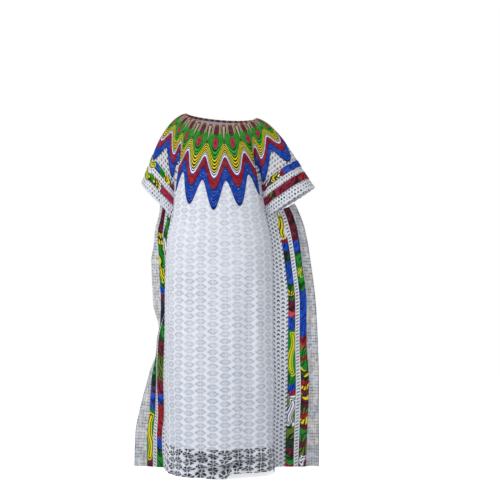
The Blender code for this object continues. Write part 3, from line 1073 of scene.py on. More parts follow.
@dataclass(frozen=True)
class Net:
    """A net of drawn lines, both ways, with a small eyelet in each square."""

    pitch: float = 12.0 * MM
    line: tuple[float, float] = (0.15, 0.70)
    line_share: float = 0.72
    eyelet: tuple[float, float] = (-1.45, -1.75)
    depth: float = 0.8

    def draw(self, across: Field, down: Field) -> tuple[Field, Field]:
        """Draw the lace.

        Args:
            across: Place across the cloth.
            down: Place down the cloth.

        Returns:
            How open the lace is, and its relief.
        """
        first, second = across.wave(self.pitch), down.wave(self.pitch)
        lines = (first.step(*self.line) | second.step(*self.line)) * self.line_share
        opening = lines | (first + second).step(*self.eyelet)
        return opening, opening * -self.depth


@dataclass(frozen=True)
class Arrows:
    """Columns of small arrow-shaped openings, half a step apart from one to the next."""

    pitch: tuple[float, float] = (19.0 * MM, 16.4 * MM)
    slope: float = 0.75
    cut: tuple[float, float, float] = (-4.0 * MM, 2.4 * MM, 0.9 * MM)
    cut_half: tuple[float, float] = (7.0 * MM, 5.6 * MM)
    rim: tuple[float, float, float] = (-4.8 * MM, 3.6 * MM, 1.0 * MM)
    rim_half: tuple[float, float] = (8.2 * MM, 6.6 * MM)
    rim_height: float = 0.6

    def draw(self, across: Field, down: Field) -> tuple[Field, Field]:
        """Draw the lace.

        Args:
            across: Place across the cloth.
            down: Place down the cloth.

        Returns:
            How open the lace is, and its relief.
        """
        wide, tall = self.pitch
        column = across.nearest(wide)
        lowered = down + abs(column) % 2.0 * (0.5 * tall)
        x = abs(across - column * wide)
        roof = lowered - lowered.nearest(tall) * tall - x * self.slope
        opening = roof.inside(*self.cut) * x.step(*self.cut_half)
        rim = roof.inside(*self.rim) * x.step(*self.rim_half)
        return opening, rim * self.rim_height - opening


@dataclass(frozen=True)
class Teeth:
    """A narrow insertion between the wing bands: small slanting openings in one column."""

    middle: float = 0.5 * (INNER_BAND[1] + OUTER_BAND[0])
    pitch: float = 12.5 * MM
    slope: float = 0.55
    cut: tuple[float, float, float] = (-2.8 * MM, 2.6 * MM, 0.8 * MM)
    cut_width: tuple[float, float, float] = (-5.2 * MM, 5.6 * MM, 1.2 * MM)
    rim: tuple[float, float, float] = (-5.0 * MM, 4.8 * MM, 1.0 * MM)
    rim_height: float = 0.5

    def draw(self, across: Field, down: Field) -> tuple[Field, Field]:
        """Draw the lace.

        Args:
            across: Place across the cloth.
            down: Place down the cloth.

        Returns:
            How open the lace is, and its relief.
        """
        x = across - self.middle
        slant = down - down.nearest(self.pitch) * self.pitch + x * self.slope
        opening = slant.inside(*self.cut) * x.inside(*self.cut_width)
        return opening, slant.inside(*self.rim) * self.rim_height - opening


class LacePattern(Enum):
    """The openings that a strip of lace can have."""

    RINGS = Rings(0.46, 0.93, -0.97, 0.30)
    FLOWERS = Rings(0.20, 1.00, -0.78)
    DOTS = Eyelets(13.5 * MM, 12.5 * MM, 3.8 * MM)
    OVALS = Eyelets(20.0 * MM, 16.5 * MM, 4.6 * MM, 1.5)
    CHECK = Net()
    TEETH = Teeth()
    TICKS = Arrows()


@dataclass(frozen=True)
class LaceZone:
    """A strip of lace: where it lies, what it shows, how unevenly its openings do, and a tint
    clouded over it, which on the body's hem is painted shade.
    """

    pattern: LacePattern
    low: float
    high: float
    opening: Tint
    strength: float = 1.0
    worn: float = 0.4
    # Tint laid in clouds over the strip: painted shade on the body's hem, a lighter warm white on
    # the wings' net.
    cloth: Tint = Tint.LACE
    tint_and_shade_share: float = 0.0


@dataclass(frozen=True)
class LaceFinish:
    """Cotton eyelet lace, bleached, embroidered and cut: matt white with raised threads.

    The openings are drawn in the colour: the lining in painted shade where it hangs behind
    them, and painted shade of the robe's inside elsewhere. The threads drift, as hand-guided
    embroidery does, so no two are quite alike.
    """

    name: str
    zones: tuple[LaceZone, ...]
    along_down: bool = True
    ground: tuple[Tint, Tint] = (Tint.LACE_SHADE, Tint.LACE)
    roughness: float = 0.82
    sheen: float = 0.15
    bleached: float = 0.45
    drift: float = 6.0 * MM
    drift_sizes: tuple[float, float] = (41.67 * MM, 58.82 * MM)
    hem_drift: float = 0.0
    hem_place: tuple[float, float] = (1.25, 1.33)
    graded_shade_place: tuple[float, float] = (0.70, 1.30)
    graded_shade_share: float = 0.45
    shading: Uneven = Uneven(142.9 * MM, 3.0, 0.30, 0.72)
    tint_and_shade_clouds: Uneven = Uneven(66.67 * MM, 3.0, 0.40, 0.62)
    wear: tuple[Uneven, Uneven] = (Uneven(17.24 * MM, 2.0, 0.36, 0.60, 0.62),
                                   Uneven(58.82 * MM, 2.0, 0.20, 0.60, 0.38))
    thread_share: float = 0.90
    edge: float = 1.2 * MM
    # Drawn at more than twice the spacing of real threads, or the weave would not show.
    threads: Relief = Relief(0.12 * MM, 0.6, 1.1 * MM)
    crumples: Relief = Relief(1.2 * MM, 0.5, 21.74 * MM, 4.0)
    embroidery: Relief = Relief(1.6 * MM, 0.8)

    def make(self) -> bpy.types.Material:
        """Build the material.

        Returns:
            The finished material.
        """
        paint = Painter("embroidered_cotton_lace_" + self.name, self.roughness, self.sheen)
        marks = paint.cloth_marks()
        place, down = marks[1 if self.along_down else 0], marks[1]
        loose = down.step(*self.hem_place) * self.hem_drift + self.drift
        threads = [mark + (paint.clouds(size) - 0.5) * loose
                   for size, mark in zip(self.drift_sizes, marks)]
        colour = paint.add(Kind.MIX, paint.patches(self.shading), *self.ground)
        colour = paint.add(Kind.MIX, self.bleached, colour, Tint.WHITE)
        # Painted shade, growing down the body and wings and up the sleeves towards the yoke.
        graded_shade = down.step(*self.graded_shade_place) * self.graded_shade_share
        colour = paint.add(Kind.MIX, graded_shade, colour, Tint.SHEER)
        wear = paint.patches(self.wear[0]) + paint.patches(self.wear[1])
        drawn: dict[LacePattern, tuple[Field, Field]] = {}
        relief: Number = 0.0
        for zone in self.zones:
            if zone.pattern not in drawn:
                drawn[zone.pattern] = zone.pattern.value.draw(*threads)
            opening, height = drawn[zone.pattern]
            within = place.inside(zone.low, zone.high, self.edge)
            # Clouds of painted shade in the crumples of the body's hem; on the wings' net, clouds
            # of a lighter warm white.
            if zone.tint_and_shade_share > 0.0:
                cloth = within * paint.patches(self.tint_and_shade_clouds) * zone.tint_and_shade_share
                colour = paint.add(Kind.MIX, cloth, colour, zone.cloth)
            # Openings are painted: the lining in painted shade, painted shade of the robe's inside,
            # or brown on the sleeves.
            shown = opening * (wear * zone.worn + (1.0 - zone.worn)) * within * zone.strength
            colour = paint.add(Kind.MIX, shown, colour, zone.opening)
            raised = (height | 0.0) * within * self.thread_share
            colour = paint.add(Kind.MIX, raised, colour, Tint.WHITE)
            relief = height * within + relief
        under = paint.crumpled(self.crumples, paint.woven(self.threads))
        return paint.finish(colour, paint.add(Kind.RELIEF, relief, self.embroidery.height,
                                              self.embroidery.strength, under))


@dataclass(frozen=True)
class LiningFinish:
    """Plain-woven cotton lining, bleached: smooth matt white with soft crumples."""

    name: str = "plain_woven_cotton_lining"
    roughness: float = 0.78
    sheen: float = 0.1
    shading: Uneven = Uneven(111.1 * MM, 3.0, 0.3, 0.7)
    # Drawn at more than twice the spacing of real threads, as the lace is.
    threads: Relief = Relief(0.1 * MM, 0.5, 0.9 * MM)
    crumples: Relief = Relief(1.2 * MM, 0.5, 33.33 * MM, 4.0)

    def make(self) -> bpy.types.Material:
        """Build the material.

        Returns:
            The finished material.
        """
        paint = Painter(self.name, self.roughness, self.sheen)
        colour = paint.add(Kind.MIX, paint.patches(self.shading), Tint.LACE_SHADE, Tint.LINING)
        return paint.finish(colour, paint.crumpled(self.crumples, paint.woven(self.threads)))


@dataclass(frozen=True)
class Gathers:
    """Radiating stripes of the print where it is gathered at the neck, and painted shade on its
    pleats.
    """

    brown: tuple[float, float]
    red: tuple[float, float]
    red_tint: Tint
    thin: tuple[float, float]
    pleat_shade_share: float
    wide_pitch: float = 0.5
    pleat_shade_pitch: float = 0.125

    def colour(self, paint: Painter, phase: Field) -> Field:
        """Colour of the stripes: wide ones of brown and red, crossed by thin black lines of painted
        shade, one on each pleat.

        Args:
            paint: The material's painter.
            phase: Place round the neck, in petals.

        Returns:
            The colour.
        """
        wide = phase.wave(self.wide_pitch, "COSINE")
        # Thin black lines, one to each of the pleats, are painted shade.
        thin = phase.wave(self.pleat_shade_pitch, "COSINE").step(*self.thin) * self.pleat_shade_share
        colour = paint.add(Kind.MIX, wide.step(*self.brown), Tint.BEIGE, Tint.BROWN)
        colour = paint.add(Kind.MIX, wide.step(*self.red), colour, self.red_tint)
        return paint.add(Kind.MIX, thin, colour, Tint.BLACK)


@dataclass(frozen=True)
class YokeFinish:
    """Wax-printed cotton, woven, dyed and calendered: full colours, even and nearly matt.

    Zigzag contours run out to blue petals, with a ring of drops near the neck. Places are
    shares of a petal's reach, which is up to 342 mm: the lines in the petals are about
    12 mm apart. Each line has its limits, how wide it is, and its colour.
    """

    name: str = "wax_printed_cotton_yoke"
    roughness: float = 0.70
    specular: float = 0.10
    # The gathers' thin black lines are painted shade on the pleats.
    gathers: Gathers = Gathers((-0.85, -0.45), (0.40, 0.75), Tint.MAROON, (0.20, 0.50), 0.80)
    gathers_edge: tuple[float, float] = (0.175, 0.140)
    wobble: tuple[float, float] = (90.91 * MM, 0.030)
    zigzag: float = 0.030
    zigzag_grows: tuple[float, float] = (0.85, 0.45)
    soft: float = 0.004
    red_zone: tuple[float, float] = (0.662, 0.770)
    red_side: tuple[float, float] = (0.12, 0.42)
    red_share: float = 0.60
    line_pitch: float = 0.037
    line_bend: float = 0.05
    line_soft: float = 0.30
    line_share: float = 0.95
    lines: tuple[tuple[float, float, float, Tint], ...] = (
        (0.664, 0.766, -0.10, Tint.MAROON), (0.792, 0.990, -0.05, Tint.NAVY))
    speck_size: float = 10.53 * MM
    speck_edge: tuple[float, float] = (0.16, 0.10)
    speck_zone: tuple[float, float] = (0.792, 0.965)
    speck_share: float = 0.45
    valley: tuple[float, float] = (0.104, 0.32)
    valley_edges: tuple[tuple[float, float, Tint], ...] = (
        (0.045, 0.030, Tint.BLACK), (0.012, 0.000, Tint.BEIGE))
    drop_middle: float = 0.248
    drop_half: tuple[float, float] = (0.140, 0.066)
    drop_narrows: float = 0.28
    drop_soft: float = 0.08
    drop_rings: tuple[tuple[float, Tint], ...] = (
        (1.40, Tint.BLACK), (1.24, Tint.LEAF), (1.10, Tint.BLACK), (0.94, Tint.CRIMSON),
        (0.34, Tint.DEEP_GREEN))
    rim: tuple[float, float] = (0.972, 0.985)
    rim_share: float = 0.75
    faded: Uneven = Uneven(16.67 * MM, 3.0, 0.35, 0.75, 0.04)
    # Three times as coarse as real threads, so that the grain shows.
    threads: Relief = Relief(0.2 * MM, 0.5, 1.111 * MM)
    hem_edge: tuple[float, float] = (0.955, 0.975)
    hem: Relief = Relief(0.7 * MM, 0.7)
    crumples: Relief = Relief(1.0 * MM, 0.5, 29.41 * MM, 3.0)
    contours: Stops = row_of(
        "132 BLACK  160 LEAF  174 BLACK  204 LEAF  218 BLACK  248 LEAF  262 BLACK  292 LEAF  "
        "306 BLACK  336 LEAF  352 BLACK  378 LEAF  396 BLACK  420 LEAF  438 BLACK  457 YELLOW  "
        "479 BLACK  497 YELLOW  519 BLACK  537 YELLOW  559 BLACK  574 YELLOW  590 BLACK  "
        "602 WHITE  618 NAVY  638 WHITE  648 BLUE  662 MAROON  770 RED  790 NAVY  1001 BLUE")

    def drop(self, side: Field, reach: Field) -> Field:
        """How far from the middle of a drop a place is, 1 at its edge.

        Args:
            side: Distance from the middle line of a petal, in petals.
            reach: Distance from the neck, as a share of the petal.

        Returns:
            The distance, as a share of the drop.
        """
        wide, tall = self.drop_half
        up = (reach - self.drop_middle) / tall
        out = side / wide / (up * self.drop_narrows + 1.0)
        return (up * up + out * out) ** 0.5

    def petals(self, paint: Painter, side: Field, lifted: Field) -> Field:
        """Colour of the contours and of the lines between them.

        Args:
            paint: The material's painter.
            side: Distance from the middle line of a petal, in petals.
            lifted: Distance from the neck, with the zigzag in it.

        Returns:
            The colour.
        """
        colour = paint.bands(lifted, 0.0, self.contours)
        deeper = lifted.inside(*self.red_zone, self.soft) * side.step(*self.red_side)
        colour = paint.add(Kind.MIX, deeper * self.red_share, colour, Tint.MAROON)
        wave = (lifted - side * self.line_bend).wave(self.line_pitch)
        for low, high, keen, tint in self.lines:
            line = wave.step(keen, keen + self.line_soft) * lifted.inside(low, high, self.soft)
            colour = paint.add(Kind.MIX, line * self.line_share, colour, tint)
        return colour

    def make(self) -> bpy.types.Material:
        """Build the material.

        Returns:
            The finished material.
        """
        paint = Painter(self.name, self.roughness, 0.0, self.specular)
        phase, reach = paint.cloth_marks()
        size, wobble = self.wobble
        reach = reach + (paint.clouds(size) - 0.5) * wobble
        side = abs(phase - phase.nearest(1.0))
        sway = phase.wave(1.0, "COSINE") * -self.zigzag + self.zigzag
        colour = self.petals(paint, side, reach + sway * reach.step(*self.zigzag_grows))
        specks = paint.add(Kind.CELLS, paint.add(Kind.PLACE), 1.0 / self.speck_size)
        specks = specks.step(*self.speck_edge) * reach.inside(*self.speck_zone, self.soft)
        colour = paint.add(Kind.MIX, specks * self.speck_share, colour, Tint.WHITE)
        colour = paint.add(Kind.MIX, reach.step(*self.gathers_edge), colour,
                           self.gathers.colour(paint, phase))
        width, narrows = self.valley
        valley = (0.5 - side) - (width - reach * narrows)
        for low, high, tint in self.valley_edges:
            colour = paint.add(Kind.MIX, valley.step(low, high), colour, tint)
        away = self.drop(side, reach)
        for size, tint in self.drop_rings:
            colour = paint.add(Kind.MIX, away.step(size, size - self.drop_soft), colour, tint)
        colour = paint.add(Kind.MIX, reach.step(*self.rim) * self.rim_share, colour, Tint.NAVY)
        colour = paint.add(Kind.MIX, paint.patches(self.faded), colour, Tint.WHITE)
        hem = paint.add(Kind.RELIEF, reach.step(*self.hem_edge), self.hem.height,
                        self.hem.strength, paint.crumpled(self.threads))
        return paint.finish(colour, paint.crumpled(self.crumples, hem))


class Busy(Enum):
    """How strongly black lines cross a colour of the band prints."""

    FULL = 0.95
    HALF = 0.85
    LOW = 0.80

    @property
    def linear(self) -> tuple[float, float, float, float]:
        """The share, as a ramp takes it."""
        return (self.value, self.value, self.value, 1.0)

    @classmethod
    def of(cls, tint: Tint) -> "Busy":
        """Share of one colour.

        Args:
            tint: The colour.

        Returns:
            Its share: most on light colours, where the lines stand out.
        """
        if tint in (Tint.YELLOW, Tint.WHITE, Tint.OLIVE):
            return cls.FULL
        return cls.LOW if tint in (Tint.BLUE, Tint.RED, Tint.GREEN) else cls.HALF


@dataclass(frozen=True)
class Loops:
    """A run of nested loops in a band print, and the colour beside them."""

    low: float
    high: float
    light: Tint
    dark: Tint
    rings: float = 1.7
    beside: Tint = Tint.GREEN


@dataclass(frozen=True)
class BandFinish:
    """Wax-printed cotton of one band, woven, dyed and calendered: full colours, nearly matt.

    Wavy colours follow each other along the band, crossed by black lines and outlined, with
    runs of nested loops among them. The loops' sizes are shares of the band's width.
    """

    name: str
    start: float
    stripes: Stops
    loops: tuple[Loops, ...]
    low: float
    high: float
    down_the_band: bool = True
    arch: float = 10.0 * MM
    slope: float = 0.35
    roughness: float = 0.70
    specular: float = 0.10
    bow_pitch: float = 115.0 * MM
    swirl: tuple[float, float] = (38.46 * MM, 26.0 * MM)
    line_pitch: float = 12.5 * MM
    line_edge: tuple[float, float] = (0.00, 0.40)
    line_lean: tuple[float, float, float] = (0.30, 0.45, 0.55)
    line_reach: float = 1.3
    loop_end: float = 0.47
    loop_sway: float = 0.26
    loop_turn: float = 3.3
    loop_line: float = 0.15
    loop_edge: tuple[float, float] = (0.92, 1.02)
    edge: tuple[float, float, float] = (0.03, 0.97, 0.02)
    edge_share: float = 0.55
    faded: Uneven = Uneven(16.67 * MM, 3.0, 0.35, 0.75, 0.04)
    # Three times as coarse as real threads, so that the weave shows.
    threads: Relief = Relief(0.1 * MM, 0.6, 1.0 * MM)
    seam_edge: tuple[float, float, float] = (0.06, 0.94, 0.03)
    seam: Relief = Relief(0.6 * MM, 0.7)
    crumples: Relief = Relief(1.0 * MM, 0.5, 25.0 * MM, 3.0)

    def looped(self, paint: Painter, loop: Loops, moved: Field, centred: Field) -> Field:
        """Colour of one run of nested loops: an S with round ends.

        Args:
            paint: The material's painter.
            loop: The run.
            moved: Place along the band, with its waves.
            centred: Place across the band, from -0.5 to 0.5.

        Returns:
            The colour.
        """
        width = self.high - self.low
        middle, half = 0.5 * (loop.low + loop.high), 0.5 * (loop.high - loop.low)
        round_end = self.loop_end * width
        along = moved - middle
        sway = along.wave(2.0 * math.pi * half / self.loop_turn)
        out = centred * width + sway * (self.loop_sway * width)
        past = abs(along) - (half - round_end) | 0.0
        away = (past * past + out * out) ** 0.5 / round_end
        rings = away.wave(1.0 / loop.rings).step(-self.loop_line, self.loop_line)
        colour = paint.add(Kind.MIX, rings, loop.dark, loop.light)
        return paint.add(Kind.MIX, away.step(*self.loop_edge), colour, loop.beside)

    def make(self) -> bpy.types.Material:
        """Build the material.

        Returns:
            The finished material.
        """
        paint = Painter("wax_printed_cotton_" + self.name, self.roughness, 0.0, self.specular)
        marks = paint.cloth_marks()
        side, along = marks if self.down_the_band else marks[::-1]
        width = self.high - self.low
        share = (side - self.low) / width
        centred = share - 0.5
        bow = along.wave(self.bow_pitch)
        size, swirl = self.swirl
        moved = along + (paint.clouds(size, 1.0) - 0.5) * swirl
        moved = moved + bow * centred * (self.slope * width)
        moved = moved + centred * centred * (4.0 * self.arch)
        colour = paint.bands(moved, self.start, self.stripes)
        slow, sway, lean = self.line_lean
        bent = moved * slow + centred * (bow * sway + lean) * (self.line_reach * width)
        busy = paint.bands(moved, self.start, tuple(
            (end, Busy.of(tint)) for end, tint in self.stripes))
        lines = bent.wave(self.line_pitch).step(*self.line_edge) * busy
        colour = paint.add(Kind.MIX, lines, colour, Tint.BLACK)
        for loop in self.loops:
            colour = paint.add(Kind.MIX, moved.inside(loop.low, loop.high, 1.0 * MM), colour,
                               self.looped(paint, loop, moved, centred))
        outline = (1.0 - share.inside(*self.edge)) * self.edge_share
        colour = paint.add(Kind.MIX, outline, colour, Tint.NAVY)
        colour = paint.add(Kind.MIX, paint.patches(self.faded), colour, Tint.WHITE)
        seam = paint.add(Kind.RELIEF, share.inside(*self.seam_edge), self.seam.height,
                         self.seam.strength, paint.woven(self.threads))
        return paint.finish(colour, paint.crumpled(self.crumples, seam))


@dataclass(frozen=True)
class BindingFinish:
    """Wax-printed cotton cut on the cross and gathered: the yoke's colours with painted shade on
    the pleats, and a stitch line.
    """

    name: str = "wax_printed_cotton_binding"
    roughness: float = 0.62
    sheen: float = 0.1
    # The gathers' thin black lines are painted shade on the pleats.
    gathers: Gathers = Gathers((-0.5, 0.1), (0.6, 0.8), Tint.CRIMSON, (0.3, 0.6), 0.7)
    # Three times as coarse as real threads, so that the grain shows.
    threads: Relief = Relief(0.2 * MM, 0.5, 1.111 * MM)
    stitch_place: tuple[float, float, float] = (0.70, 0.80, 0.05)
    stitch: Relief = Relief(-0.6 * MM, 0.7)

    def make(self) -> bpy.types.Material:
        """Build the material.

        Returns:
            The finished material.
        """
        paint = Painter(self.name, self.roughness, self.sheen)
        phase, share = paint.cloth_marks()
        relief = paint.add(Kind.RELIEF, share.inside(*self.stitch_place), self.stitch.height,
                           self.stitch.strength, paint.crumpled(self.threads))
        return paint.finish(self.gathers.colour(paint, phase), relief)


# ---------- pieces of the robe


LACE_WALL = 2.0 * MM
PRINT_WALL = 1.2 * MM
LINING_WALL = 1.2 * MM

# Lace of the body: almonds that show the lining in painted shade where it hangs behind; below
# its hem, flowers whose openings are painted shade, with painted shade of the crumples in clouds.
BODY_LACE = LaceFinish("body", (
    LaceZone(LacePattern.RINGS, -0.2, 0.62, Tint.PALE_OPENING, 0.43, 0.90),
    LaceZone(LacePattern.RINGS, 0.62, 1.287, Tint.PALE_OPENING, 0.58, 0.90),
    LaceZone(LacePattern.FLOWERS, 1.287, 1.50, Tint.DARK_OPENING, 1.0, 0.2, Tint.HEM_LACE,
             0.75)), hem_drift=0.024)

# Lace of the wings, seam to free edge: arrows, a narrow insertion, and an open net.
# Their openings are painted shade, and the net is clouded with a lighter warm white.
WING_LACE = LaceFinish("wing", (
    LaceZone(LacePattern.TICKS, -0.01, 0.058, Tint.DARK_OPENING),
    LaceZone(LacePattern.TEETH, 0.088, 0.106, Tint.DARK_OPENING, 0.90),
    LaceZone(LacePattern.CHECK, 0.134, 0.20, Tint.DARK_OPENING, 1.0, 0.9, Tint.WARM_LACE,
             0.9)), along_down=False, ground=(Tint.LACE, Tint.WHITE))

# Lace of the sleeves, hem to neck: dots to the upper band, brown ovals above it.
# The dark dots are painted shade.
SLEEVE_LACE = LaceFinish("sleeve", (
    LaceZone(LacePattern.DOTS, 0.003, 0.041, Tint.DARK_OPENING, 0.98, 0.85),
    LaceZone(LacePattern.DOTS, 0.073, 0.096, Tint.BROWN, 0.90, 0.85),
    LaceZone(LacePattern.DOTS, 0.125, 0.40, Tint.DARK_OPENING, 0.22, 0.85),
    LaceZone(LacePattern.OVALS, 0.125, 0.40, Tint.BROWN, 1.0, 0.75)),
    ground=(Tint.LACE_SHADE, Tint.WHITE))

# Prints of the wing bands, top to hem: where each colour ends, in mm below the shoulder.
LEFT_INNER = BandFinish("inner_left_band", 0.38, row_of(
    "495 WHITE  511 RED  542 BLUE  580 DEEP_GREEN  667 BLUE  690 GREEN  698 YELLOW  704 BLACK  "
    "712 YELLOW  718 BLACK  729 GREEN  772 MAROON  795 CORAL  846 BLUE  1022 YELLOW  "
    "1057 GREEN  1084 BLUE  1103 RED  1220 WHITE  1267 OLIVE  1306 DEEP_GREEN  1334 MAROON  "
    "1365 GREEN  1420 RED"), (
    Loops(0.400, 0.495, Tint.YELLOW, Tint.BLACK, 1.7, Tint.WHITE),
    Loops(0.846, 1.022, Tint.YELLOW, Tint.GREEN, 2.0),
    Loops(1.110, 1.212, Tint.WHITE, Tint.NAVY, 2.2, Tint.OLIVE)), *INNER_BAND)
LEFT_OUTER = BandFinish("outer_left_band", 0.38, row_of(
    "495 MAROON  550 BLUE  604 GREEN  643 YELLOW  690 GREEN  869 BLUE  905 RED  930 OLIVE  "
    "950 GREEN  962 RED  995 GREEN  1022 YELLOW  1041 DEEP_GREEN  1062 RED  1078 YELLOW  "
    "1100 MAROON  1115 YELLOW  1150 MAROON  1165 OLIVE  1196 RED  1216 YELLOW  1236 MAROON  "
    "1275 GREEN  1302 MAROON  1333 OLIVE  1372 WHITE  1420 MAROON"), (
    Loops(0.604, 0.643, Tint.YELLOW, Tint.BROWN, 1.4),
    Loops(1.333, 1.372, Tint.WHITE, Tint.NAVY, 1.5, Tint.MAROON)), *OUTER_BAND)
RIGHT_INNER = BandFinish("inner_right_band", 0.36, row_of(
    "409 WHITE  494 GREEN  560 WHITE  660 YELLOW  740 RED  830 NAVY  886 GREEN  954 MAROON  "
    "1047 YELLOW  1108 WINE  1140 BLUE  1281 RED  1322 BLUE  1332 BLACK  1420 GREEN"), (
    Loops(0.405, 0.496, Tint.GREEN, Tint.DEEP_GREEN, 1.2, Tint.NAVY),
    Loops(0.560, 0.660, Tint.YELLOW, Tint.BLACK),
    Loops(0.956, 1.047, Tint.OLIVE, Tint.BLACK, 2.0, Tint.OLIVE)), *INNER_BAND)
RIGHT_OUTER = BandFinish("outer_right_band", 0.36, row_of(
    "470 MAROON  488 YELLOW  496 BLACK  508 YELLOW  514 BLACK  591 GREEN  659 YELLOW  "
    "679 GREEN  714 BLUE  738 MAROON  877 NAVY  960 MAROON  1030 GREEN  1079 DEEP_GREEN  "
    "1112 PURPLE  1164 BLUE  1184 GREEN  1370 YELLOW  1420 MAROON"), (
    Loops(0.508, 0.606, Tint.GREEN, Tint.BLACK, 1.1, Tint.YELLOW),
    Loops(0.606, 0.664, Tint.YELLOW, Tint.BLACK),
    Loops(1.184, 1.370, Tint.YELLOW, Tint.BLACK, 1.7, Tint.GREEN)), *OUTER_BAND)

# Prints of the sleeve bands, back to front: where each colour ends, in mm from the tip.
SLEEVE_PRINTS = {
    ("upper", "left"): BandFinish("upper_left_sleeve", -0.30, row_of(
        "-210 MAROON  -170 GREEN  -130 YELLOW  -80 RED  -30 GREEN  134 BLUE  158 WINE  168 WHITE  "
        "174 BLACK  184 YELLOW  189 BLACK  199 YELLOW  204 BLACK  213 YELLOW  218 BLACK  "
        "226 WHITE  231 BLACK  238 WHITE  300 WINE"),
        (), 0.097, 0.124, False, 0.018),
    ("lower", "left"): BandFinish("lower_left_sleeve", -0.30, row_of(
        "-200 GREEN  -150 MAROON  -110 BLUE  -60 OLIVE  85 RED  217 WINE  229 OLIVE  300 WINE"),
        (), 0.042, 0.072, False, 0.006),
    ("upper", "right"): BandFinish("upper_right_sleeve", -0.30, row_of(
        "-200 MAROON  -150 BLUE  -100 YELLOW  -50 RED  50 GREEN  110 YELLOW  134.5 BLUE  "
        "173 GREEN  181 YELLOW  186 BLACK  194 YELLOW  199 BLACK  207 YELLOW  211 BLACK  "
        "222 WHITE  300 WINE"),
        (Loops(0.050, 0.110, Tint.YELLOW, Tint.BLACK),), 0.097, 0.124, False, 0.006),
    ("lower", "right"): BandFinish("lower_right_sleeve", -0.30, row_of(
        "-200 RED  -150 GREEN  -100 MAROON  -50 BLUE  20 RED  95.7 YELLOW  115.6 GREEN  "
        "124 YELLOW  129 BLACK  138 YELLOW  143 BLACK  152 YELLOW  164 WHITE  300 WINE"),
        (Loops(0.040, 0.0957, Tint.YELLOW, Tint.BLACK),
         Loops(0.172, 0.262, Tint.WINE, Tint.CRIMSON, 2.0, Tint.MAROON)),
        0.042, 0.072, False, 0.006)}


@dataclass
class BodyPanels:
    """Front and back panel of lace, with the lining that hangs inside them.

    Their cloth coordinates are metres across from the middle and down from the shoulder.
    """

    form: RobeForm
    start: float = 0.012
    ray_rows: int = 34
    tube_rows: int = 104
    lining_rows: tuple[int, int] = (24, 60)
    seated_rows: int = 8
    hem: float = -1.395
    lining_hem: float = -1.275
    lining_ease: float = 9.0 * MM
    hip: float = -0.74
    softened: tuple[float, int] = (2.0, 4)
    soft_reach: float = 0.09
    seam_calm: float = 14.0

    def strip(self, first: float, last: float, skip: int, ray_rows: int, tube_rows: int,
              hem: float) -> Grid:
        """One panel's grid from the neck seam to a hem.

        Args:
            first: Ray angle of the first column.
            last: Ray angle of the last column.
            skip: How many of the form's rays go to one column.
            ray_rows: Rows above the underarm ring.
            tube_rows: Rows below it.
            hem: Height of the last row.

        Returns:
            Points, normals and cloth coordinates.
        """
        form = self.form
        columns = form.columns(first, last, skip)
        angles = form.angles[columns]
        lengths = form.ray_lengths[columns]
        shares = np.linspace(0.0, 1.0, ray_rows)[:, None]
        places = self.start + (lengths - self.start) * shares
        upper = form.ray_points(columns, places)
        z = np.linspace(form.ring, hem, tube_rows + 1)[1:]
        lower = form.tube(angles[None, :], z[:, None])
        points = np.concatenate((upper, lower))
        points = self.soften(points, form.place(angles))
        outside = points - np.array((0.0, 0.02, 0.0))
        outside[..., 2] = 0.0
        normals = normals_of(points, outside)
        hip = form.tube(angles, np.array(self.hip), False)
        run = lengths_along(hip)
        across = np.broadcast_to(run - run[len(run) // 2], points.shape[:2])
        down = np.concatenate((-form.ring - (lengths - places),
                               np.broadcast_to(-z[:, None], lower.shape[:2])))
        return points, normals, np.stack((across, down), axis=-1)

    def soften(self, points: Array, place: Array) -> Array:
        """Round off the change of slope at the underarm ring, away from the side seams.

        Args:
            points: Rows by columns by 3.
            place: Place round the tube of each column.

        Returns:
            Points of the same shape.
        """
        soft = smoothed(points, 0, *self.softened, False)
        near = grown(np.abs(points[..., 2] - self.form.ring), self.soft_reach, 0.0)
        side = grown(np.abs(np.abs(place) - 90.0), 0.0, self.seam_calm)
        return points + (soft - points) * (near * side)[..., None]

    def build(self) -> None:
        """Build and dress the two panels and the two linings."""
        lace = BODY_LACE.make()
        lining = LiningFinish().make()
        front, back = self.form.seams
        for name, first, last, flat in (("front_panel", -front, front, (0.60, 1.42)),
                                        ("back_panel", back, 360.0 - back, (0.58, 1.45))):
            points, normals, marks = self.strip(first, last, 1, self.ray_rows, self.tube_rows,
                                                self.hem)
            piece = cloth_sheet(name + "_lace", points, normals, marks, LACE_WALL)
            dress(piece, lace, (name,))
            points, normals, marks = self.strip(first, last, 2, *self.lining_rows,
                                                self.lining_hem)
            depth = np.full((len(points), 1, 1), LACE_WALL + self.lining_ease)
            depth[:self.seated_rows, 0, 0] = np.linspace(
                LACE_WALL + SEAM_GAP, LACE_WALL + self.lining_ease, self.seated_rows)
            name = "lining_" + name.split("_")[0]
            piece = cloth_sheet(name + "_cloth", points - normals * depth, normals, marks,
                                LINING_WALL)
            dress(piece, lining, (name,))


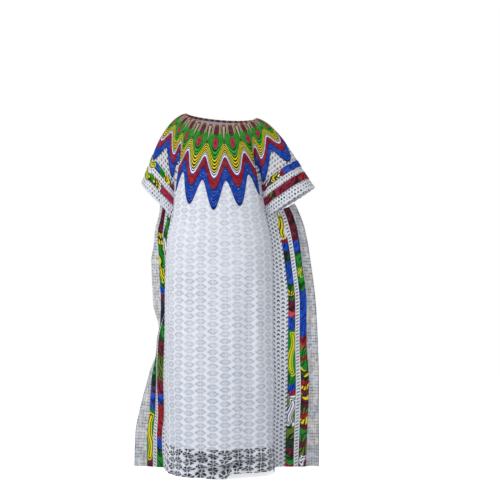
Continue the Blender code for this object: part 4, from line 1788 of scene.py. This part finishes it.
@dataclass
class Sleeves:
    """Two raglan sleeves of lace, each with an upper and a lower print band.

    Their cloth coordinates are metres along the hem from the tip, and up from the hem.
    """

    form: RobeForm
    start: float = 0.012
    rows: int = 72
    border: float = 0.042
    lower_band: float = 0.030
    apart: float = 0.025
    upper_band: float = 0.027
    band_room: float = 0.135
    corner: float = 0.012
    corner_reach: float = 0.030
    scallop: float = 0.0028
    scallop_pitch: float = 0.024
    lift: float = 0.7 * MM
    band_ends: float = 5.0
    band_rows: int = 10

    def from_hem(self, columns: Array, edge: float) -> Array:
        """Distance from the hem of a line of the bands, less where the yoke comes near.

        Args:
            columns: Indices of the rays.
            edge: Distance where there is room.

        Returns:
            Distances, one for each ray.
        """
        angles = self.form.angles[columns]
        room = (self.form.ray_lengths[columns] - self.form.reach(angles)) / self.band_room
        return edge * np.minimum(1.0, room)

    def hem_run(self, columns: Array) -> Array:
        """Length along the hem from the sleeve's tip, positive towards the front.

        Args:
            columns: Indices of the rays.

        Returns:
            Lengths, one for each ray.
        """
        run = lengths_along(self.form.rays[-1, columns])
        way = 1.0 if self.form.angles[columns[0]] < 0.0 else -1.0
        return (run - run[len(run) // 2]) * way

    def grid(self, columns: Array, hem: Array, top: Array, rows: int) -> Grid:
        """Grid of cloth between two distances from the hem.

        Args:
            columns: Indices of the rays.
            hem: Distance of the lower edge, on each ray.
            top: Distance of the upper edge.
            rows: How many rows the grid has.

        Returns:
            Points, normals and cloth coordinates.
        """
        shares = np.linspace(0.0, 1.0, rows)[:, None]
        away = top + (hem - top) * shares
        lengths = self.form.ray_lengths[columns]
        points = self.form.ray_points(columns, lengths - away)
        middle = points.mean(axis=(0, 1))
        centre = np.array((0.0, 0.0, middle[2] - 0.15))
        normals = normals_of(points, points - centre)
        room = self.from_hem(columns, 1.0)
        marks = np.stack((np.broadcast_to(self.hem_run(columns), away.shape),
                          away / np.maximum(room, 0.2)), axis=-1)
        return points, normals, marks

    def build(self) -> None:
        """Build and dress both sleeves."""
        lace = SLEEVE_LACE.make()
        prints = {key: finish.make() for key, finish in SLEEVE_PRINTS.items()}
        front, back = self.form.seams
        for side, first, last in (("left", front, back), ("right", -back, -front)):
            columns = self.form.columns(first, last)
            lengths = self.form.ray_lengths[columns]
            run = self.hem_run(columns)
            wave = np.abs(np.sin(np.pi * run / self.scallop_pitch)) * self.scallop
            ends = grown(np.abs(run).max() - np.abs(run), self.corner_reach, 0.0)
            hem = self.scallop - wave + ends * self.corner
            points, normals, marks = self.grid(columns, hem, lengths - self.start, self.rows)
            piece = cloth_sheet("sleeve_" + side + "_lace", points, normals, marks, LACE_WALL)
            dress(piece, lace, ("sleeve_" + side,))
            base = self.border + self.lower_band + self.apart
            trim = self.form.columns(first + self.band_ends, last - self.band_ends)
            for label, low, high in (("lower", self.border, self.border + self.lower_band),
                                     ("upper", base, base + self.upper_band)):
                points, normals, marks = self.grid(trim, self.from_hem(trim, low),
                                                   self.from_hem(trim, high), self.band_rows)
                skin = points + normals * (self.lift + PRINT_WALL)
                name = "sleeve_band_" + label + "_" + side
                piece = cloth_sheet(name + "_print", skin, normals, marks, PRINT_WALL)
                dress(piece, prints[(label, side)], (name,))


@dataclass
class Yoke:
    """Petalled yoke of wax print, gathered at the neck, and the binding inside it.

    Their cloth coordinates are petals round the neck, and the share of the way out.
    """

    form: RobeForm
    start: float = 0.012
    rows: int = 50
    lift: float = 0.5 * MM
    pleats: int = 144
    pleat_depth: float = 1.6 * MM
    pleat_length: float = 55.0 * MM
    binding_rows: int = 9
    binding_wall: float = 3.0 * MM
    binding_round: tuple[float, float, float] = (0.6 * MM, 1.2 * MM, 0.9 * MM)

    def build(self) -> None:
        """Build and dress the yoke and its binding."""
        form = self.form
        columns = form.columns(-180.0, 180.0)
        angles = np.linspace(-180.0, 180.0, len(columns))
        reach = form.reach(angles)
        share = np.linspace(0.0, 1.0, self.rows)[:, None]
        places = self.start + (reach - self.start) * share
        points = form.ray_points(columns, places)
        normals = normals_of(np.concatenate((points[:, -2:-1], points, points[:, 1:2]), axis=1),
                             np.array((0.0, 0.0, 1.0)))[:, 1:-1]
        gather = 0.5 + 0.5 * np.cos(np.radians(self.pleats * angles))
        fade = np.exp(-places / self.pleat_length)
        skin = points + normals * (self.lift + PRINT_WALL
                                   + self.pleat_depth * gather * fade)[..., None]
        marks = np.stack((np.broadcast_to(angles * form.petals / 360.0 + form.petals, places.shape),
                          places / reach), axis=-1)
        piece = cloth_sheet("yoke_print_ring", skin, normals, marks, PRINT_WALL, ring=True)
        dress(piece, YokeFinish().make(), ("yoke",))
        edge = form.neck(angles)
        seam = form.ray_points(columns, np.full((1, len(columns)), self.start - SEAM_GAP))[0]
        share = np.linspace(0.0, 1.0, self.binding_rows)[:, None, None]
        round_over = np.sin(np.pi * share) ** 0.5
        strip = edge + (seam - edge) * share
        up = normals[:1]
        low, swell, ripple = self.binding_round
        high = low + swell * round_over + ripple * gather[:, None] * (0.35 + 0.65 * share)
        marks = np.stack((np.broadcast_to(angles * form.petals / 360.0, strip.shape[:2]),
                          np.broadcast_to(share[..., 0], strip.shape[:2])), axis=-1)
        piece = cloth_sheet("neck_binding_print", strip + up * high, up, marks,
                            self.binding_wall, ring=True)
        dress(piece, BindingFinish().make(), ("neck_binding",))


@dataclass(frozen=True)
class WingShape:
    """Knee, outer band and free edge of one wing in plan, on the heights of the body.

    Each corner has its x and y at every height. A tuck gives the outer band's start and end at
    one of them.
    """

    side: float
    corners: tuple[tuple[tuple[float, ...], tuple[float, ...]], ...]
    sway: float
    tucks: tuple[tuple[int, tuple[float, float], tuple[float, float]], ...] = ()


WING_CUT = (0.085, 0.108, 0.142, 0.170, 0.186, 0.188, 0.188, 0.188, 0.188, 0.188)
WING_SHAPES = {
    "left": WingShape(1.0, (
        ((0.206, 0.215, 0.230, 0.250, 0.262, 0.2595, 0.2575, 0.2545, 0.2510, 0.2490),
         (0.016, 0.022, 0.030, 0.012, 0.014, 0.022, 0.030, 0.028, 0.028, 0.034)),
        ((0.262, 0.279, 0.296, 0.3115, 0.3285, 0.3290, 0.3370, 0.3330, 0.3290, 0.3250),
         (0.024, 0.031, 0.036, 0.036, 0.040, 0.042, 0.044, 0.044, 0.046, 0.050)),
        ((0.284, 0.301, 0.324, 0.345, 0.364, 0.373, 0.377, 0.376, 0.377, 0.376),
         (0.027, 0.036, 0.044, 0.048, 0.051, 0.051, 0.052, 0.050, 0.053, 0.056))), 0.7),
    "right": WingShape(-1.0, (
        ((-0.196, -0.203, -0.212, -0.213, -0.215, -0.230, -0.2345, -0.232, -0.235, -0.2345),
         (0.025, 0.031, 0.041, 0.048, 0.052, 0.055, 0.055, 0.055, 0.048, 0.055)),
        ((-0.238, -0.246, -0.262, -0.262, -0.258, -0.262, -0.2905, -0.300, -0.3075, -0.3075),
         (0.043, 0.054, 0.064, 0.088, 0.108, 0.105, 0.090, 0.085, 0.070, 0.065)),
        ((-0.245, -0.251, -0.268, -0.300, -0.300, -0.262, -0.3156, -0.347, -0.3605, -0.3605),
         (0.060, 0.079, 0.094, 0.117, 0.143, 0.155, 0.135, 0.108, 0.085, 0.070))), 2.1,
        ((2, (-0.238, 0.058), (-0.262, 0.062)), (3, (-0.237, 0.088), (-0.262, 0.088)),
         (4, (-0.231, 0.096), (-0.256, 0.104)), (5, (-0.266, 0.075), (-0.262, 0.102))))}


@dataclass
class Wings:
    """Front and back layer of each wing, each with an inner and an outer print band.

    Their cloth coordinates are metres out from the body seam and down from the shoulder.
    """

    form: RobeForm
    rows: int = 165
    columns: int = 38
    top_drop: float = -0.30
    top_rise: float = 0.55
    rise_rows: float = 4.0
    layer_gap: float = 5.0 * MM
    band_columns: tuple[int, ...] = (10, 7, 4, 7, 10)
    whole: float = 0.188
    knee_share: float = 0.64
    plan_samples: int = 189
    rounding: int = 14
    ripples: tuple[Wave, ...] = (Wave(2.2 * MM, 1.6, sway=1.0, fall=-0.9),
                                 Wave(1.1 * MM, 3.1, sway=2.0, fall=1.7))
    calm: float = 0.25
    swells: tuple[float, float] = (0.5, 1.0)

    def bowed(self, start: Array, end: Array, length: float) -> Array:
        """Plan curve from one point to another that bows until it has a length.

        Args:
            start: Where it starts.
            end: Where it ends.
            length: The length it is given, if its ends are near enough.

        Returns:
            Points of the curve.
        """
        chord = end - start
        away = unit(np.array((-chord[1], chord[0])))
        share = np.linspace(0.0, 1.0, 80)
        bow = np.sin(math.pi * share)
        low, high = 0.0, length
        curve = start + share[:, None] * chord
        for _ in range(40):
            depth = 0.5 * (low + high)
            curve = start + share[:, None] * chord + (bow * depth)[:, None] * away
            if lengths_along(curve)[-1] < length:
                low = depth
            else:
                high = depth
        return curve

    def plan(self, corners: list[Array], cut: float) -> Array:
        """Points of the wing's columns in plan.

        Args:
            corners: Plan points of the body seam, knee, start and end of the outer band,
                and free edge.
            cut: Cut width at this height.

        Returns:
            Plan points of all columns.
        """
        stops = (0.0, INNER_BAND[0], *OUTER_BAND, self.whole)
        places = np.linspace(0.0, self.whole, self.plan_samples)
        even = np.zeros((len(places), 2))
        for start, end, low, high in zip(corners, corners[1:], stops, stops[1:]):
            curve = self.bowed(start, end, cut * (high - low) / self.whole)
            run = lengths_along(curve)
            near = (places >= low - 1e-9) & (places <= high + 1e-9)
            share = (places[near] - low) / (high - low) * run[-1]
            even[near] = np.stack([np.interp(share, run, curve[:, axis]) for axis in (0, 1)],
                                  axis=1)
        for _ in range(self.rounding):
            even[1:-1] = 0.25 * even[:-2] + 0.5 * even[1:-1] + 0.25 * even[2:]
        return np.stack([np.interp(self.cut_places(), places, even[:, axis])
                         for axis in (0, 1)], axis=1)

    def sheet_grid(self, shape: WingShape) -> Grid:
        """Middle surface of one wing.

        Args:
            shape: How the wing hangs.

        Returns:
            Points, normals to the back, and cloth coordinates.
        """
        form = self.form
        ray = form.seams[0] * shape.side
        top = form.ring + self.top_drop * (BODY_Z[1] - form.ring)
        heights = np.linspace(top, BODY_Z[-1], self.rows)
        cuts = self.cut_places()
        plans = []
        for z in (form.ring,) + BODY_Z[1:]:
            row = BODY_Z.index(z)
            seam = form.tube(np.array(ray), np.array(z))[:2]
            if row == 0:
                below = form.tube(np.array(ray), np.array(BODY_Z[1]))[:2]
                seam = seam + self.top_drop * (below - seam)
            corners = [seam] + [np.array((x[row], y[row])) for x, y in shape.corners]
            corners.insert(2, corners[1] + self.knee_share * (corners[2] - corners[1]))
            for tucked, start, end in shape.tucks:
                if tucked == row:
                    corners[2:4] = [np.array(start), np.array(end)]
            plans.append(self.plan(corners, WING_CUT[row]).T)
        table = np.array(plans)
        places = (top,) + BODY_Z[1:]
        x, y = (np.stack([Profile(places, tuple(table[:, axis, column])).at(heights)
                          for column in range(len(cuts))], axis=1) for axis in (0, 1))
        seam = form.tube(np.array(ray), heights)
        width = Profile(places, WING_CUT).at(heights)[:, None]
        row_share = np.interp(heights, places[::-1], np.arange(len(places))[::-1])
        rise = self.top_rise * grown(row_share, self.rise_rows, 0.0)[:, None]
        x[:, 0] = seam[:, 0] + SEAM_GAP * shape.side
        z = seam[:, 2:3] + rise * cuts[None, :] / self.whole * width
        share = cuts[None, :] / self.whole
        down = -heights[:, None]
        turn, fall = 2.0 * math.pi * share, 2.0 * math.pi * down
        ripple = sum(wave.at(turn, fall, shape.sway) for wave in self.ripples)
        y = y + ripple * grown(share, 0.0, self.calm) * (0.4 + 0.6 * grown(down, *self.swells))
        points = np.stack(np.broadcast_arrays(x, y, z), axis=-1)
        normals = normals_of(points, np.array((0.0, 1.0, 0.0)))
        marks = np.stack((np.broadcast_to(cuts, x.shape), np.broadcast_to(-z, x.shape)), axis=-1)
        return points, normals, marks

    def cut_places(self) -> Array:
        """Places of the columns across the cut width, with the band edges among them.

        Returns:
            Distances from the body seam.
        """
        edges = (0.0, *INNER_BAND, *OUTER_BAND, self.whole)
        parts = [np.linspace(low, high, count, endpoint=False)
                 for low, high, count in zip(edges, edges[1:], self.band_columns)]
        return np.concatenate(parts + [np.array((self.whole,))])

    def build(self) -> None:
        """Build and dress both wings."""
        lace = WING_LACE.make()
        prints = {("inner", "left"): LEFT_INNER.make(), ("outer", "left"): LEFT_OUTER.make(),
                  ("inner", "right"): RIGHT_INNER.make(), ("outer", "right"): RIGHT_OUTER.make()}
        cuts = self.cut_places()
        for side, shape in WING_SHAPES.items():
            points, normals, marks = self.sheet_grid(shape)
            spread = np.sin(0.8 * math.pi * cuts / self.whole)
            part = 0.5 * (SEAM_GAP + self.layer_gap * spread)[None, :, None]
            for layer, way in (("front", -1.0), ("back", 1.0)):
                facing = normals * way
                skin = points + facing * (part + LACE_WALL)
                label = layer + "_" + side
                piece = cloth_sheet("wing_" + label + "_lace", skin, facing, marks, LACE_WALL)
                dress(piece, lace, ("wing_" + label,))
                for place, (low, high) in (("inner", INNER_BAND), ("outer", OUTER_BAND)):
                    near = np.where((cuts >= low - 1e-6) & (cuts <= high + 1e-6))[0]
                    over = skin[:, near] + facing[:, near] * (SEAM_GAP + PRINT_WALL)
                    name = "band_" + place + "_" + label
                    strip = cloth_sheet(name + "_print", over, facing[:, near], marks[:, near],
                                        PRINT_WALL)
                    dress(strip, prints[(place, side)], (name,))


@dataclass
class Studio:
    """Pale floor, soft lights and the camera."""

    floor: float = -1.3960
    floor_radius: float = 4.0
    camera_place: Vec = (0.808, -4.936, -0.534)
    camera_turn: float = 8.0
    lens: float = 92.3
    film_width: float = 36.0
    sky: float = 0.47
    glow: tuple[float, float] = (0.12, 0.70)
    lamps: tuple[tuple[str, Vec, Vec, float, float], ...] = (
        ("key", (-1.9, -2.9, 1.5), (0.0, 0.0, -0.45), 2.0, 58.0),
        ("fill", (2.9, -3.0, 0.6), (0.0, 0.0, -0.7), 3.0, 10.0),
        ("top", (0.0, -0.4, 3.2), (0.0, 0.0, -0.5), 3.0, 22.0))

    def build(self) -> None:
        """Lay the floor, hang the lamps, and set the sky and the camera."""
        self.lay_floor()
        for name, place, target, size, power in self.lamps:
            lamp = bpy.data.lights.new(name, "AREA")
            lamp.shape = "DISK"
            lamp.size = size
            lamp.energy = power
            aim = np.array(target) - np.array(place)
            tilt = math.atan2(math.hypot(aim[0], aim[1]), -aim[2])
            self.put(name, lamp, place, (tilt, 0.0, math.atan2(-aim[0], aim[1])))
        self.set_sky()
        camera = bpy.data.cameras.new("camera")
        camera.lens = self.lens
        camera.sensor_width = self.film_width
        turn = (math.radians(90.0), 0.0, math.radians(self.camera_turn))
        bpy.context.scene.camera = self.put("camera", camera, self.camera_place, turn)
        bpy.context.scene.view_settings.view_transform = "Standard"

    def put(self, name: str, data: bpy.types.ID, place: Vec, turn: Vec) -> bpy.types.Object:
        """Put a lamp or a camera in its place.

        Args:
            name: Its name.
            data: The lamp or the camera.
            place: Where it stands.
            turn: Its angles.

        Returns:
            The object.
        """
        item = bpy.data.objects.new(name, data)
        bpy.context.collection.objects.link(item)
        item.location = place
        item.rotation_euler = turn
        return item

    def lay_floor(self) -> None:
        """Lay matt white paper, brighter to the camera than to the robe."""
        bpy.ops.object.select_all(action="DESELECT")
        bpy.ops.mesh.primitive_circle_add(vertices=96, radius=self.floor_radius, fill_type="NGON",
                                          location=(0.0, 0.0, 0.0))
        floor = bpy.context.object
        floor.name = "studio_floor"
        for corner in floor.data.vertices:
            corner.co.z = self.floor
        paint = Painter("matt_white_paper", 0.9)
        paint.shader.inputs["Emission Color"].default_value = Tint.LIGHT.linear
        glow = paint.add(Kind.RANGE, paint.add(Kind.SEEN), 0.0, 1.0, *self.glow)
        paint.tree.links.new(glow.socket, paint.shader.inputs["Emission Strength"])
        colour = paint.add(Kind.MIX, paint.clouds(2.5), Tint.FLOOR, Tint.WHITE)
        relief = paint.add(Kind.RELIEF, paint.clouds(25.0 * MM), 0.2 * MM)
        floor.data.materials.append(paint.finish(colour, relief))

    def set_sky(self) -> None:
        """Set an even white sky, dimmer to the robe than to the camera."""
        world = bpy.data.worlds.new("studio")
        world.use_nodes = True
        wiring = Wiring(world.node_tree)
        sky = wiring.tree.nodes["Background"]
        sky.inputs["Color"].default_value = Tint.LIGHT.linear
        level = wiring.add(Kind.RANGE, wiring.add(Kind.SEEN), 0.0, 1.0, self.sky)
        wiring.tree.links.new(level.socket, sky.inputs["Strength"])
        bpy.context.scene.world = world


def main() -> None:
    """Build the robe and its studio."""
    logging.basicConfig(level=logging.INFO, format="%(name)s: %(message)s")
    form = RobeForm()
    for assembly in (Studio(), BodyPanels(form), Sleeves(form), Yoke(form), Wings(form)):
        LOG.info("building %s", type(assembly).__name__)
        assembly.build()


if __name__ == "__main__":
    main()
